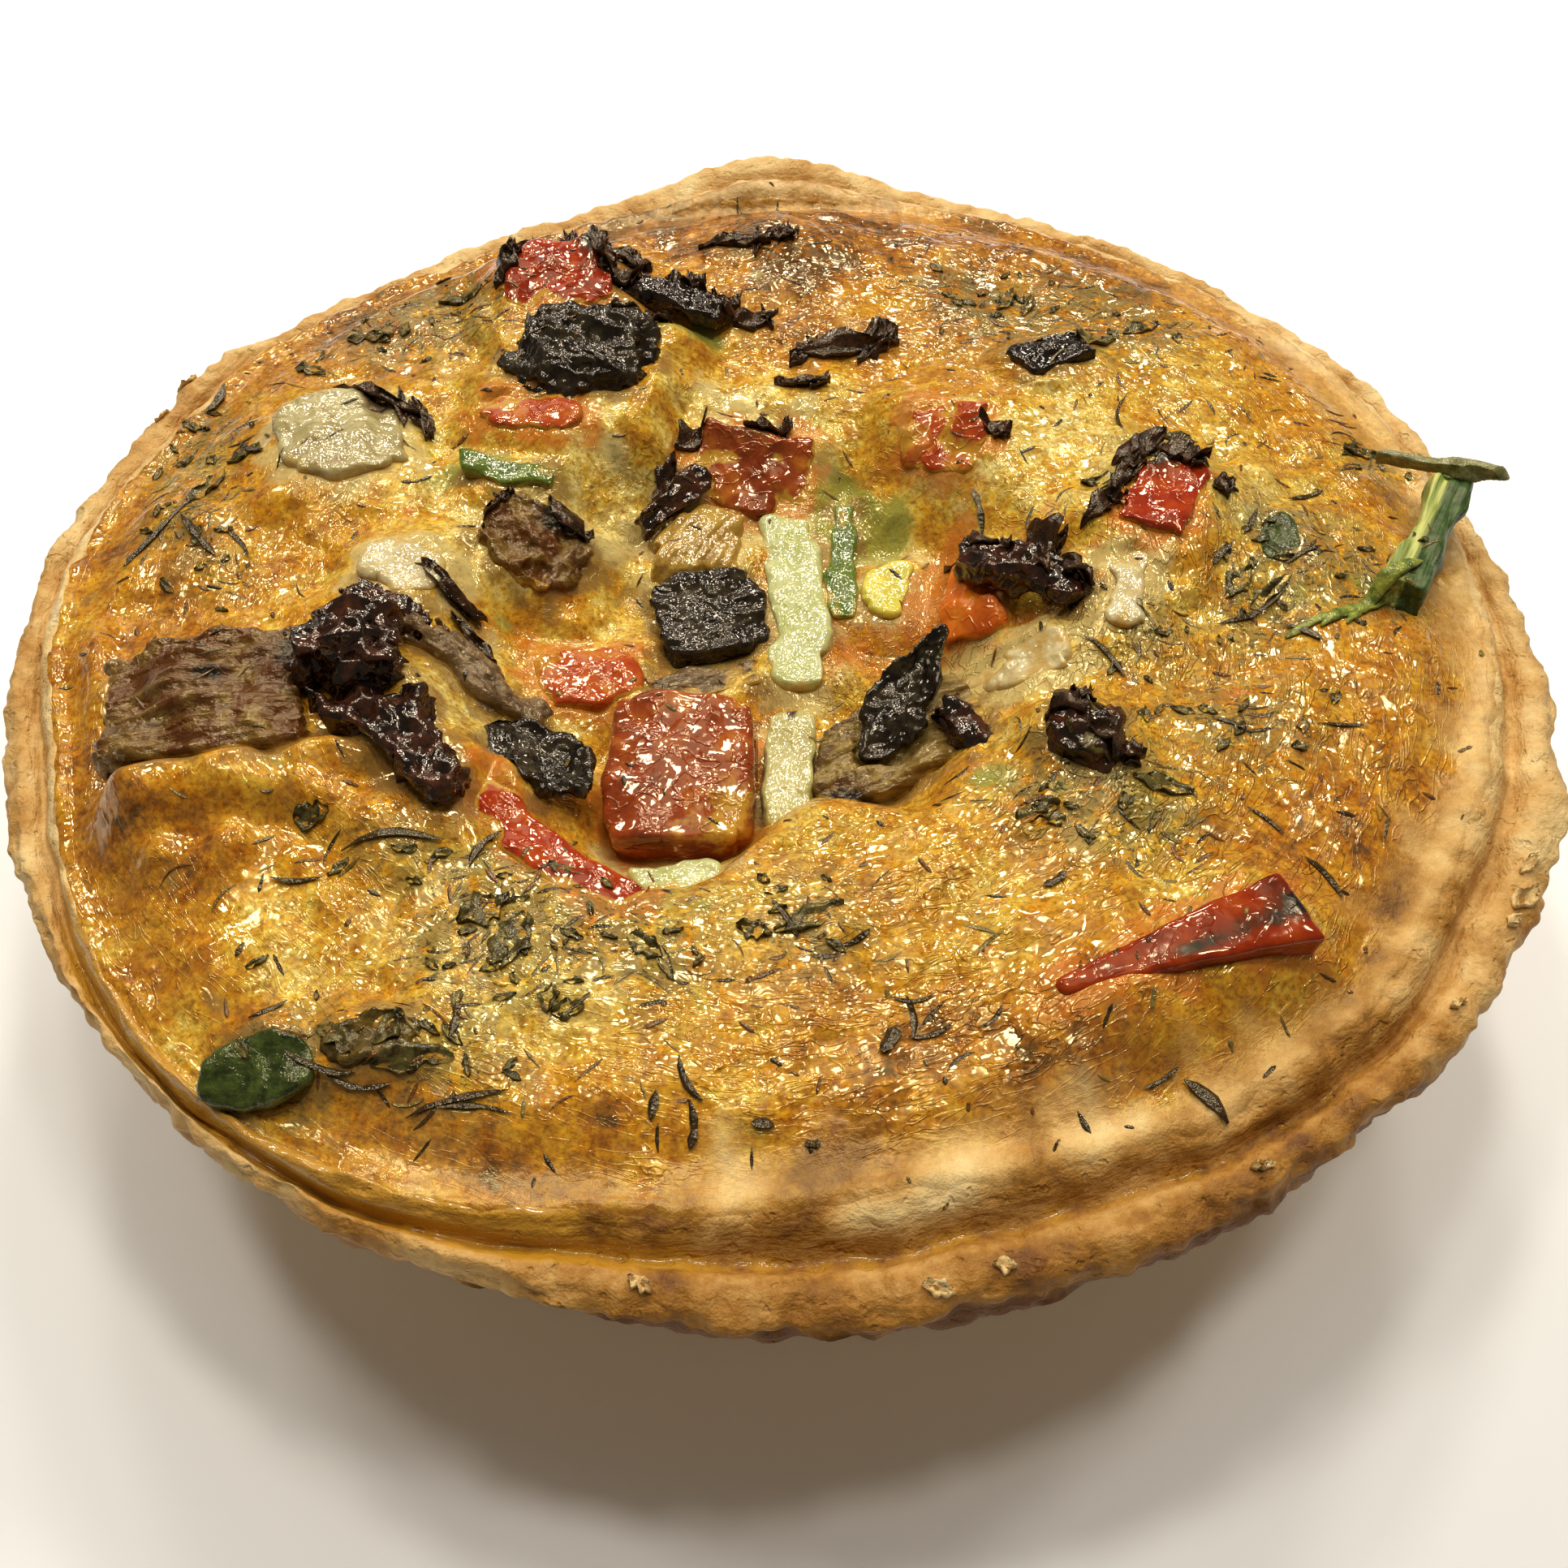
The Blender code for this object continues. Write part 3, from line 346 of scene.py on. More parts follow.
def apply_modifier(item, kind, **settings):
    pick(item)
    modifier = item.modifiers.new(kind.title(), kind)
    for setting, value in settings.items():
        setattr(modifier, setting, value)
    bpy.ops.object.modifier_apply(modifier=modifier.name)


def shade_smooth(item):
    pick(item)
    bpy.ops.object.shade_smooth()


def serve(item, material, slot, *nodes):
    """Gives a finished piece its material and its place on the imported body."""
    item.data.materials.clear()
    item.data.materials.append(material)
    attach(item, "root")
    if nodes:
        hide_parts(*nodes)


def add_piece(name, points, faces):
    mesh = bpy.data.meshes.new(name)
    mesh.from_pydata([tuple(point) for point in points], [], faces)
    mesh.update()
    item = bpy.data.objects.new(name, mesh)
    bpy.context.scene.collection.objects.link(item)
    shade_smooth(item)
    return item


def surface_tree(items):
    """One search tree over the faces of several pieces."""
    points = []
    faces = []
    for item in items:
        start = len(points)
        points += [vertex.co.copy() for vertex in item.data.vertices]
        faces += [[start + k for k in polygon.vertices] for polygon in item.data.polygons]
    return BVHTree.FromPolygons(points, faces)


def look_down(tree, x, y):
    """The first surface under a place high over the quiche: its point and its normal, or two Nones."""
    return tree.ray_cast(Vector((x, y, LOOK_HEIGHT)), Vector((0.0, 0.0, -1.0)))[:2]


def surface_level(tree, x, y):
    hit, _ = look_down(tree, x, y)
    return hit.z if hit else None


# --- Materials ---

# Colours from pale to dark, each with the share of browning where it lies.
CUSTARD_TONES = (
    (0.00, (0.80, 0.60, 0.17)), (0.22, (0.72, 0.44, 0.045)), (0.45, (0.64, 0.29, 0.012)),
    (0.66, (0.58, 0.23, 0.010)), (0.84, (0.38, 0.120, 0.008)), (1.00, (0.13, 0.045, 0.010)),
)
PASTRY_TONES = (
    (0.00, (0.84, 0.70, 0.42)), (0.30, (0.74, 0.52, 0.22)), (0.55, (0.58, 0.33, 0.10)),
    (0.78, (0.36, 0.155, 0.022)), (1.00, (0.15, 0.050, 0.010)),
)
# Factors on the custard's colour, from its dark specks to its pale ones.
CURD_SHADES = ((0.36, (0.55, 0.44, 0.32)), (0.50, (0.97, 0.95, 0.90)), (0.66, (1.18, 1.22, 1.30)))
MOTTLE_SHADES = ((0.34, (0.70, 0.52, 0.30)), (0.50, (1.0, 0.98, 0.90)), (0.68, (1.20, 1.36, 1.90)))
HERB_GREY = (0.20, 0.16, 0.050, 1.0)
HERB_DARK = (0.045, 0.032, 0.012, 1.0)
PEPPER_OIL = (0.58, 0.15, 0.015, 1.0)
LEEK_GREEN = (0.25, 0.30, 0.050, 1.0)
# The pale tone also paints a cream highlight on the custard.
PALE_TINT_AND_HIGHLIGHT = (0.67, 0.51, 0.19, 1.0)
SOOTY_BROWN = (0.27, 0.14, 0.035, 1.0)
GLAZE_AMBER = (0.50, 0.235, 0.012, 1.0)
# The scorch tone also paints two shadow spots at the front right.
SCORCH_AND_SHADOW_TONE = (0.24, 0.090, 0.018, 1.0)
CHAR_BROWN = (0.075, 0.026, 0.012, 1.0)
CHAR_BLACK = (0.012, 0.009, 0.008, 1.0)
CUSTARD_FILM = (0.56, 0.31, 0.03, 1.0)
OIL_TINT = (1.0, 0.86, 0.58, 1.0)
RAGGED = 0.9                # how strongly noise tears the edges of painted places


class Recipe:
    """A node tree with short calls that add nodes and link them. Sizes of noise and depths are in mm."""

    def __init__(self, tree):
        self.tree = tree

    def add(self, kind, inputs=None, **settings):
        node = self.tree.nodes.new("ShaderNode" + kind)
        for setting, value in settings.items():
            setattr(node, setting, value)
        for key, value in (inputs or {}).items():
            self.feed(node.inputs[key], value)
        return node

    def feed(self, socket, value):
        if isinstance(value, bpy.types.NodeSocket):
            self.tree.links.new(value, socket)
        else:
            socket.default_value = value

    def place(self):
        return self.add("TexCoord").outputs["Object"]

    def stored(self, name):
        return self.add("Attribute", attribute_name=name).outputs["Fac"]

    def stored_vector(self, name):
        return self.add("Attribute", attribute_name=name).outputs["Vector"]

    def parts(self, vector):
        return self.add("SeparateXYZ", {0: vector}).outputs

    def scaled(self, vector, scale):
        return self.add("Mapping", {"Vector": vector, "Scale": scale}).outputs[0]

    def along(self, scale):
        """Places along, across and up a piece, from its own middle, each times its scale."""
        return self.scaled(self.stored_vector("lie"), scale)

    def noise(self, vector, size, detail=3.0, roughness=0.5, distortion=0.0):
        inputs = {"Vector": vector, "Scale": 1.0 / (size * MM), "Detail": detail, "Roughness": roughness,
                  "Distortion": distortion}
        return self.add("TexNoise", inputs).outputs[0]

    def wander(self, *noise_settings):
        """Noise that runs to both sides of zero."""
        return self.math("SUBTRACT", self.noise(*noise_settings), 0.5)

    def crest(self, *noise_settings):
        """How far noise is from its middle, which it crosses along thin winding lines."""
        return self.math("ABSOLUTE", self.wander(*noise_settings))

    def math(self, operation, first, second=0.0, clamp=False):
        return self.add("Math", {0: first, 1: second}, operation=operation, use_clamp=clamp).outputs[0]

    def times(self, first, second, clamp=False):
        return self.math("MULTIPLY", first, second, clamp)

    def plus(self, first, second, clamp=False):
        return self.math("ADD", first, second, clamp)

    def total(self, *weighted):
        """The sum of several values, each given with its weight."""
        whole, *rest = [self.times(value, weight) for value, weight in weighted]
        for part in rest:
            whole = self.plus(whole, part)
        return whole

    def ragged(self, amount, *noise_settings):
        """A painted amount whose edge is made uneven by noise."""
        return self.plus(amount, self.times(self.wander(*noise_settings), RAGGED))

    def between(self, value, low, high):
        """0 up to low, 1 from high on and smooth in between; low may be the larger of the two."""
        inputs = {"Value": value, "From Min": low, "From Max": high}
        return self.add("MapRange", inputs, interpolation_type="SMOOTHSTEP").outputs[0]

    def spread(self, value, low, high):
        """A value of 0 to 1 spread from low to high."""
        return self.add("MapRange", {"Value": value, "To Min": low, "To Max": high}).outputs[0]

    def mix(self, share, first, second, blend="MIX"):
        node = self.add("Mix", data_type="RGBA", blend_type=blend)
        self.feed(node.inputs[0], share)
        self.feed(node.inputs[6], first)
        self.feed(node.inputs[7], second)
        return node.outputs[2]

    def stain(self, colour, tone, amount, strength):
        """The colour with a tone over it where the amount is high."""
        return self.mix(self.times(amount, strength), colour, tone)

    def ramp(self, value, stops):
        node = self.add("ValToRGB", {0: value})
        elements = node.color_ramp.elements
        while len(elements) < len(stops):
            elements.new(0.5)
        for element, (at, colour) in zip(elements, stops):
            element.position = at
            element.color = (*colour, 1.0)
        return node.outputs[0]

    def bump(self, height, depth):
        return self.add("Bump", {"Height": height, "Distance": depth * MM, "Strength": 1.0}).outputs[0]

    def group(self, tree, **inputs):
        node = self.add("Group", node_tree=tree)
        for key, value in inputs.items():
            self.feed(node.inputs[key.capitalize()], value)
        return node.outputs


def start_group(name, inputs, outputs):
    """A node group with named sockets; returns its recipe, its input sockets and its output sockets."""
    tree = bpy.data.node_groups.new(name, "ShaderNodeTree")
    for way, sockets in (("INPUT", inputs), ("OUTPUT", outputs)):
        for label, kind in sockets:
            tree.interface.new_socket(name=label, in_out=way, socket_type="NodeSocket" + kind)
    return Recipe(tree), tree.nodes.new("NodeGroupInput").outputs, tree.nodes.new("NodeGroupOutput").inputs


def start_material(name):
    material = bpy.data.materials.new(name)
    material.use_nodes = True
    return material, Recipe(material.node_tree), material.node_tree.nodes["Principled BSDF"].inputs


def finish(recipe, shader, colour, roughness, height, depth):
    """Links a finish's colour, its roughness and its relief."""
    recipe.feed(shader["Base Color"], colour)
    recipe.feed(shader["Roughness"], roughness)
    recipe.feed(shader["Normal"], recipe.bump(height, depth))


def make_wet(shader, gloss, tint=OIL_TINT):
    """Oil on the surface: crisp warm reflections, without a grey veil."""
    shader["Specular IOR Level"].default_value = gloss
    shader["Specular Tint"].default_value = tint


def make_translucent(shader, weight, radius, depth):
    """Lets light in under the surface, where each colour spreads by its own share of the depth."""
    shader["Subsurface Weight"].default_value = weight
    shader["Subsurface Radius"].default_value = radius
    shader["Subsurface Scale"].default_value = depth * MM


def make_oily_relief():
    """Puckers, grain and thin raised folds of an oily skin, as a height."""
    recipe, given, made = start_group(
        "oily_relief", (("Vector", "Vector"), ("Combed", "Vector"), ("Fold", "Float")),
        (("Height", "Float"), ("Grain", "Float")))
    place, combed = given["Vector"], given["Combed"]
    pucker = recipe.noise(place, 1.8, 1.5, 0.40, 0.9)
    ripple = recipe.noise(combed, 1.3, 1.0, 0.5)
    grain = recipe.noise(place, 0.7, 1.0, 0.5)
    thread = recipe.between(recipe.crest(combed, 1.8, 2.0, 0.5, 1.2), 0.05, 0.0)
    height = recipe.total((pucker, 0.85), (ripple, 0.50), (grain, 0.10), (thread, given["Fold"]))
    lively = recipe.between(recipe.noise(place, 6.5, 2.0, 0.5), 0.42, 0.58)
    recipe.feed(made["Height"], recipe.times(height, recipe.spread(lively, 0.35, 1.0)))
    recipe.feed(made["Grain"], grain)
    return recipe.tree


def make_browning():
    """Oven browning: the given amount, broken up by blotches and grain, as a share from pale to dark."""
    recipe, given, made = start_group(
        "browning", (("Vector", "Vector"), ("Amount", "Float"), ("Blotch", "Float"), ("Grain", "Float")),
        (("Share", "Float"),))
    blotches = recipe.times(recipe.wander(given["Vector"], 4.5, 4.0, 0.6), given["Blotch"])
    grains = recipe.times(recipe.wander(given["Vector"], 0.8, 3.0, 0.7), given["Grain"])
    share = recipe.plus(given["Amount"], blotches)
    recipe.feed(made["Share"], recipe.plus(share, grains, clamp=True))
    return recipe.tree


def make_herb_dust():
    """Crushed herb: a haze and a mask of tiny flakes that gather where the amount is high."""
    recipe, given, made = start_group(
        "herb_dust", (("Vector", "Vector"), ("Amount", "Float")), (("Haze", "Float"), ("Flakes", "Float")))
    thick = recipe.times(given["Amount"], 1.5)
    cloud = recipe.between(recipe.noise(given["Vector"], 1.3, 4.0, 0.7), 0.36, 0.58)
    flecks = recipe.noise(recipe.scaled(given["Vector"], (1.0, 1.6, 1.0)), 0.5, 2.0, 0.6)
    recipe.feed(made["Haze"], recipe.times(cloud, thick, clamp=True))
    recipe.feed(made["Flakes"], recipe.times(recipe.between(flecks, 0.57, 0.64), thick, clamp=True))
    return recipe.tree


def make_charring():
    """Char that eats in from the painted places with a ragged edge, first brown and then black."""
    recipe, given, made = start_group(
        "charring", (("Vector", "Vector"), ("Amount", "Float")), (("Brown", "Float"), ("Black", "Float")))
    amount = recipe.ragged(given["Amount"], given["Vector"], 1.4, 4.0, 0.65)
    recipe.feed(made["Brown"], recipe.between(amount, 0.15, 0.5))
    recipe.feed(made["Black"], recipe.between(amount, 0.42, 0.62))
    return recipe.tree


OILY_RELIEF = make_oily_relief()
BROWNING = make_browning()
HERB_DUST = make_herb_dust()
CHARRING = make_charring()


def pastry_colour(recipe, place):
    """The pastry's colour from its toast at a place, with the painted shade on the front of the outer bead.
    """
    share = recipe.group(
        BROWNING, vector=place, amount=recipe.stored("toast_and_shade"), blotch=0.55, grain=0.40)[0]
    return recipe.ramp(share, PASTRY_TONES)


def make_custard_material():
    """Browned custard with curds, scorched strands, herb dust, stains of its vegetables, a painted shadow
    and a painted highlight, and an oily skin.
    """
    material, recipe, shader = start_material("browned_custard")
    place = recipe.place()
    combed = recipe.stored_vector("combed")
    browned, herbed, scorched = recipe.parts(recipe.stored_vector("cooked"))
    oiled, pale_and_highlight, streaked = recipe.parts(recipe.stored_vector("tinted"))
    crust = recipe.stored("crusty")
    relief = recipe.group(OILY_RELIEF, vector=place, combed=combed, fold=recipe.stored("folded"))

    amount = recipe.plus(browned, recipe.times(relief["Grain"], 0.16))
    share = recipe.group(BROWNING, vector=place, amount=amount, blotch=1.25, grain=0.95)[0]
    colour = recipe.ramp(share, CUSTARD_TONES)
    curd = recipe.noise(place, 0.42, 3.0, 0.7)
    mottle = recipe.noise(place, 1.5, 3.0, 0.6, 0.3)
    for shade, shades in ((curd, CURD_SHADES), (mottle, MOTTLE_SHADES)):
        colour = recipe.mix(0.9, colour, recipe.ramp(shade, shades), "MULTIPLY")
    strand = recipe.between(recipe.crest(combed, 1.1, 3.0, 0.6, 0.6), 0.030, 0.0)
    patchy = recipe.between(recipe.noise(place, 5.0, 2.0, 0.5), 0.46, 0.60)
    colour = recipe.stain(colour, SCORCH_AND_SHADOW_TONE, recipe.times(strand, patchy), 0.55)

    haze, flakes = recipe.group(HERB_DUST, vector=place, amount=herbed)
    # The pale stain includes a painted cream highlight left of the middle.
    stains = ((recipe.stored("greened"), LEEK_GREEN), (pale_and_highlight, PALE_TINT_AND_HIGHLIGHT), (oiled, PEPPER_OIL),
              (streaked, SOOTY_BROWN))
    blotch = recipe.times(recipe.wander(place, 1.6, 4.0, 0.65, 0.5), RAGGED)
    for amount, tone in stains:
        stained = recipe.between(recipe.plus(amount, blotch), 0.22, 0.62)
        colour = recipe.stain(colour, tone, stained, 0.75)
    # The scorch here includes painted shadow at the front right.
    dust = ((haze, HERB_GREY, 0.75), (scorched, SCORCH_AND_SHADOW_TONE, 0.6), (flakes, HERB_DARK, 0.80))
    for amount, tone, strength in dust:
        colour = recipe.stain(colour, tone, amount, strength)
    colour = recipe.mix(crust, colour, pastry_colour(recipe, place))

    wet = recipe.between(recipe.noise(place, 2.4, 3.0, 0.6), 0.35, 0.65)
    roughness = recipe.plus(recipe.total((wet, 0.12), (crust, 0.45)), 0.05)
    oily = recipe.times(relief["Height"], recipe.spread(crust, 1.0, 0.3))
    crumb = recipe.times(recipe.noise(place, 0.7, 4.0, 0.7), recipe.times(crust, 0.6))
    finish(recipe, shader, colour, roughness, recipe.plus(oily, crumb), 0.32)
    make_wet(shader, 0.78, (1.0, 0.84, 0.42, 1.0))
    return material


def make_pastry_material():
    """Baked pastry: crumbly and matt, with fine layers and pores, and glazed where the custard ran."""
    material, recipe, shader = start_material("baked_pastry")
    place = recipe.place()
    glaze = recipe.between(recipe.ragged(recipe.stored("glazed"), place, 2.0, 3.0, 0.6), 0.30, 0.65)
    colour = recipe.stain(pastry_colour(recipe, place), GLAZE_AMBER, glaze, 0.9)
    crumb = recipe.noise(place, 0.7, 4.0, 0.7)
    pores = recipe.between(recipe.noise(place, 1.0, 2.0, 0.5), 0.60, 0.72)
    layers = recipe.noise(recipe.scaled(place, (1.0, 1.0, 5.0)), 3.0, 3.0, 0.6)
    height = recipe.total((crumb, 0.5), (layers, 0.8), (pores, -0.25))
    finish(recipe, shader, colour, recipe.spread(crumb, 0.36, 0.75), height, 0.42)
    recipe.feed(shader["Coat Weight"], recipe.times(glaze, 0.75))
    shader["Coat Roughness"].default_value = 0.10
    make_wet(shader, 0.35)
    return material


def finish_vegetable(recipe, shader, place, colour, film, roughness, height, depth):
    """Lays char and a film of custard over a vegetable's own colour, and links its relief."""
    brown, black = recipe.group(CHARRING, vector=place, amount=recipe.stored("charred"))
    colour = recipe.stain(colour, CHAR_BROWN, brown, 0.75)
    colour = recipe.mix(black, colour, CHAR_BLACK)
    coat = recipe.between(recipe.ragged(recipe.stored("drowned"), place, 1.0, 3.0, 0.6), 0.45, 0.75)
    colour = recipe.stain(colour, CUSTARD_FILM, coat, film)
    finish(recipe, shader, colour, recipe.total(roughness, (black, 0.12)), height, depth)


def make_pepper_material(name, skin, deep, glow, depth=0.20, film=0.8, gloss=0.85):
    """Roasted pepper: deep wet red that turns brown in patches, with a net of thin raised wrinkles."""
    material, recipe, shader = start_material(name)
    place = recipe.place()
    patch = recipe.noise(place, 2.6, 4.0, 0.6)
    colour = recipe.ramp(patch, ((0.30, deep), (0.52, skin), (0.74, glow)))
    thread = recipe.between(recipe.crest(recipe.along((1.0, 1.3, 1.0)), 2.4, 2.0, 0.5, 0.4), 0.045, 0.0)
    grain = recipe.noise(place, 0.9, 1.5, 0.5)
    height = recipe.total((thread, 0.25), (grain, 0.35))
    finish_vegetable(recipe, shader, place, colour, film, (grain, 0.18), height, depth)
    make_wet(shader, gloss, (1.0, 0.80, 0.52, 1.0))
    make_translucent(shader, 0.25, (1.0, 0.12, 0.05), 1.2)
    return material


def make_flesh_material(name, pale, shade, fibre=0.35):
    """Soft cooked flesh, such as onion or courgette: translucent, with faint fibres and wet dots."""
    material, recipe, shader = start_material(name)
    place = recipe.place()
    fibres = recipe.noise(recipe.along((0.25, 1.0, 1.0)), 0.8, 3.0, 0.6)
    patch = recipe.noise(place, 2.4, 3.0, 0.6)
    tone = recipe.total((fibres, fibre), (patch, 1.0 - fibre))
    colour = recipe.ramp(tone, ((0.32, shade), (0.62, pale)))
    grain = recipe.noise(place, 0.8, 1.5, 0.5)
    height = recipe.total((grain, 0.8), (fibres, 0.4))
    finish_vegetable(recipe, shader, place, colour, 0.55, (grain, 0.22), height, 0.27)
    make_wet(shader, 1.0, (1.0, 0.90, 0.72, 1.0))
    make_translucent(shader, 0.45, (1.0, 0.75, 0.25), 1.6)
    return material


def make_fibre_material(name, pale, shade, streak=0.16, mottle=0.35, warm=None):
    """Browned leek: streaks and ridges along the piece, with warm patches on some."""
    material, recipe, shader = start_material(name)
    place = recipe.place()
    streaks = recipe.noise(recipe.along((streak, 1.0, 1.0)), 0.5, 4.0, 0.65, 0.2)
    patch = recipe.noise(place, 3.0, 3.0, 0.6)
    tone = recipe.total((streaks, 1.0 - mottle), (patch, mottle))
    colour = recipe.ramp(tone, ((0.36, shade), (0.60, pale)))
    if warm:
        warmth = recipe.between(recipe.noise(place, 4.0, 3.0, 0.6, 0.4), 0.44, 0.60)
        colour = recipe.mix(warmth, colour, warm)
    grain = recipe.noise(place, 0.45, 2.0, 0.6)
    wrinkle = recipe.noise(recipe.along((0.5, 1.0, 1.0)), 1.5, 1.5, 0.5)
    oily = recipe.noise(place, 1.1, 1.5, 0.5, 0.4)
    rough = recipe.total((streaks, 1.0), (grain, 0.4))
    height = recipe.total((rough, 0.55), (wrinkle, 1.1), (oily, 0.9))
    finish_vegetable(recipe, shader, place, colour, 0.6, (grain, 0.16), height, 0.42)
    make_wet(shader, 0.65, (1.0, 0.80, 0.46, 1.0))
    make_translucent(shader, 0.15, (1.0, 0.6, 0.3), 1.0)
    return material


def make_char_material(name, crest, crease, gloss=0.45):
    """Charred skin: near black with grey-brown crests and a dry gloss."""
    material, recipe, shader = start_material(name)
    place = recipe.place()
    folded = recipe.crest(recipe.along((0.45, 1.0, 1.0)), 1.3, 2.0, 0.5, 0.4)
    colour = recipe.ramp(recipe.noise(place, 1.6, 4.0, 0.65), ((0.42, crease), (0.70, crest)))
    grain = recipe.noise(place, 1.0, 1.5, 0.5)
    height = recipe.total((folded, -1.2), (grain, 0.9))
    finish(recipe, shader, colour, recipe.spread(grain, 0.03, 0.16), height, 0.26)
    make_wet(shader, gloss, (1.0, 0.86, 0.70, 1.0))
    return material


def make_herb_material(name, pale, dark):
    """Dried herb: dull leaf with a slight gloss, in lighter and darker patches."""
    material, recipe, shader = start_material(name)
    place = recipe.place()
    colour = recipe.ramp(recipe.noise(place, 1.0, 4.0, 0.65), ((0.36, dark), (0.66, pale)))
    grain = recipe.noise(place, 0.35, 2.0, 0.6)
    finish(recipe, shader, colour, recipe.spread(grain, 0.05, 0.22), grain, 0.10)
    make_wet(shader, 0.45, (1.0, 0.86, 0.60, 1.0))
    return material


def make_stem_material():
    """Fresh-looking stem: pale green ribs on one side, a dark green blade on the other."""
    material, recipe, shader = start_material("green_stem_skin")
    ribs = recipe.noise(recipe.along((0.08, 1.0, 1.0)), 0.45, 2.0, 0.5)
    patch = recipe.noise(recipe.place(), 0.9, 3.0, 0.6)
    light = recipe.ramp(ribs, ((0.40, (0.16, 0.22, 0.035)), (0.62, (0.55, 0.55, 0.15))))
    dark = recipe.ramp(patch, ((0.35, (0.018, 0.045, 0.010)), (0.7, (0.07, 0.13, 0.03))))
    across = recipe.parts(recipe.stored_vector("lie"))[1]
    colour = recipe.mix(recipe.between(across, 0.25 * MM, -0.15 * MM), light, dark)
    finish(recipe, shader, colour, recipe.spread(ribs, 0.30, 0.55), ribs, 0.25)
    make_wet(shader, 0.4)
    make_translucent(shader, 0.2, (0.5, 0.8, 0.2), 1.0)
    return material


# --- Pastry shell ---


def divided(corners, steps):
    """The corners with evenly spaced points between them, a given number for each stretch."""
    points = []
    for (out, up), (next_out, next_up) in zip(corners, corners[1:]):
        for step in range(steps):
            share = step / steps
            points.append((out + share * (next_out - out), up + share * (next_up - up)))
    return points + [corners[-1]]


def shell_section():
    """Radius and height of the section, from the base up the wall, over the rim and into the well."""
    wall_foot = (BASE_RADIUS + BASE_CHAMFER, BASE_CHAMFER)
    wall_top = (RIM_RADIUS - WALL_TOP_INSET, RIM_LEVEL - WALL_TOP_DROP)
    width = (RIM_RADIUS - EDGE_RADIUS) / MM
    corners = [(WALL_TOP_INSET / MM, -WALL_TOP_DROP / MM)]
    corners += [(inset, -drop) for inset, drop in UNDER_RIM]
    corners += [(share * width, height) for share, height in RIM_SECTION]
    rounded = np.array(divided(corners, 4))
    for _ in range(3):
        rounded[1:-1] = 0.25 * rounded[:-2] + 0.5 * rounded[1:-1] + 0.25 * rounded[2:]
    section = [(BASE_RADIUS, 0.0)] + divided([wall_foot, wall_top], 10)
    section += [(RIM_RADIUS - inset * MM, RIM_LEVEL + height * MM) for inset, height in rounded[1:]]
    section += [(EDGE_RADIUS - inset * MM, EDGE_LEVEL - drop * MM) for inset, drop in UNDER_CUSTARD]
    return section + [(WELL_RADIUS, FLOOR_THICKNESS)]


def raise_shell():
    """Turns the section: a circle whose rim is extruded again and again, then closed."""
    section = shell_section()
    deselect_all()
    radius, height = section[0]
    bpy.ops.mesh.primitive_circle_add(
        vertices=SHELL_SIDES, radius=radius, location=(0, 0, height), fill_type="NGON")
    shell = bpy.context.object
    shell.name = shell.data.name = "pastry_shell"
    bpy.ops.object.mode_set(mode="EDIT")
    bpy.ops.mesh.select_mode(type="EDGE")
    bpy.ops.mesh.select_all(action="SELECT")
    for (from_radius, from_height), (to_radius, to_height) in zip(section, section[1:]):
        bpy.ops.mesh.extrude_edges_move(
            TRANSFORM_OT_translate={"value": (0.0, 0.0, to_height - from_height)})
        ratio = to_radius / from_radius
        bpy.ops.transform.resize(value=(ratio, ratio, 1.0))
    bpy.ops.mesh.edge_face_add()
    bpy.ops.mesh.select_all(action="SELECT")
    bpy.ops.mesh.normals_make_consistent(inside=False)
    bpy.ops.object.mode_set(mode="OBJECT")
    pick(shell)
    bpy.ops.object.transform_apply(location=True, rotation=True, scale=True)
    return shell


def toast_and_shade_shell(shell, points, angle, across, climb, on_top):
    """Paints the pastry's toast, with painted shade darkening the front of its outer bead, and where glaze
    or custard has run over it.
    """
    top = np.where(on_top, 1.0, 0.0)
    groove = np.exp(-((across - 0.46) / 0.12) ** 2) * top
    front = swell(angle, 282.0, 75.0)
    right = swell(angle, 350.0, 75.0)
    left = swell(angle, 185.0, 75.0)
    bead = smooth_step(0.40, 0.25, across)
    band = smooth_step(0.52, 0.66, across) * top
    blotch = np.maximum(soft_noise(points, 4.5 * MM, 17.0), 0.0)
    toast_and_shade = PASTRY_TOAST + 0.55 * groove * (0.25 + 0.75 * front)
    # The 0.42 term paints shade on the front of the outer bead, which faces away from the light.
    toast_and_shade += bead * (0.08 + 0.10 * left + 0.42 * swell(angle, 292.0, 60.0) - 0.10 * right)
    toast_and_shade += band * (0.52 * front - 0.06 * left - 0.56 * front * blotch)
    toast_and_shade += 0.10 * np.where(on_top, 0.0, climb) * (1.0 + front)
    toast_and_shade += 0.16 * smooth_step(0.90, 1.0, across) * top
    toast_and_shade += 0.13 * soft_noise(points, 7.0 * MM, 2.0) + 0.12 * soft_noise(points, 2.6 * MM, 4.0)
    paint(shell, "toast_and_shade", toast_and_shade)

    run = swell(angle, 236.0, 36.0) * smooth_step(0.20, 0.42, across) * top
    smear = smooth_step(0.86, 1.0, across) * top * (0.45 + 0.35 * swell(angle, 180.0, 110.0))
    wet_groove = 0.45 * groove * front
    paint(shell, "glazed", np.clip(1.3 * run + smear * (1.0 - 0.8 * front) + wet_groove, 0.0, 1.0))


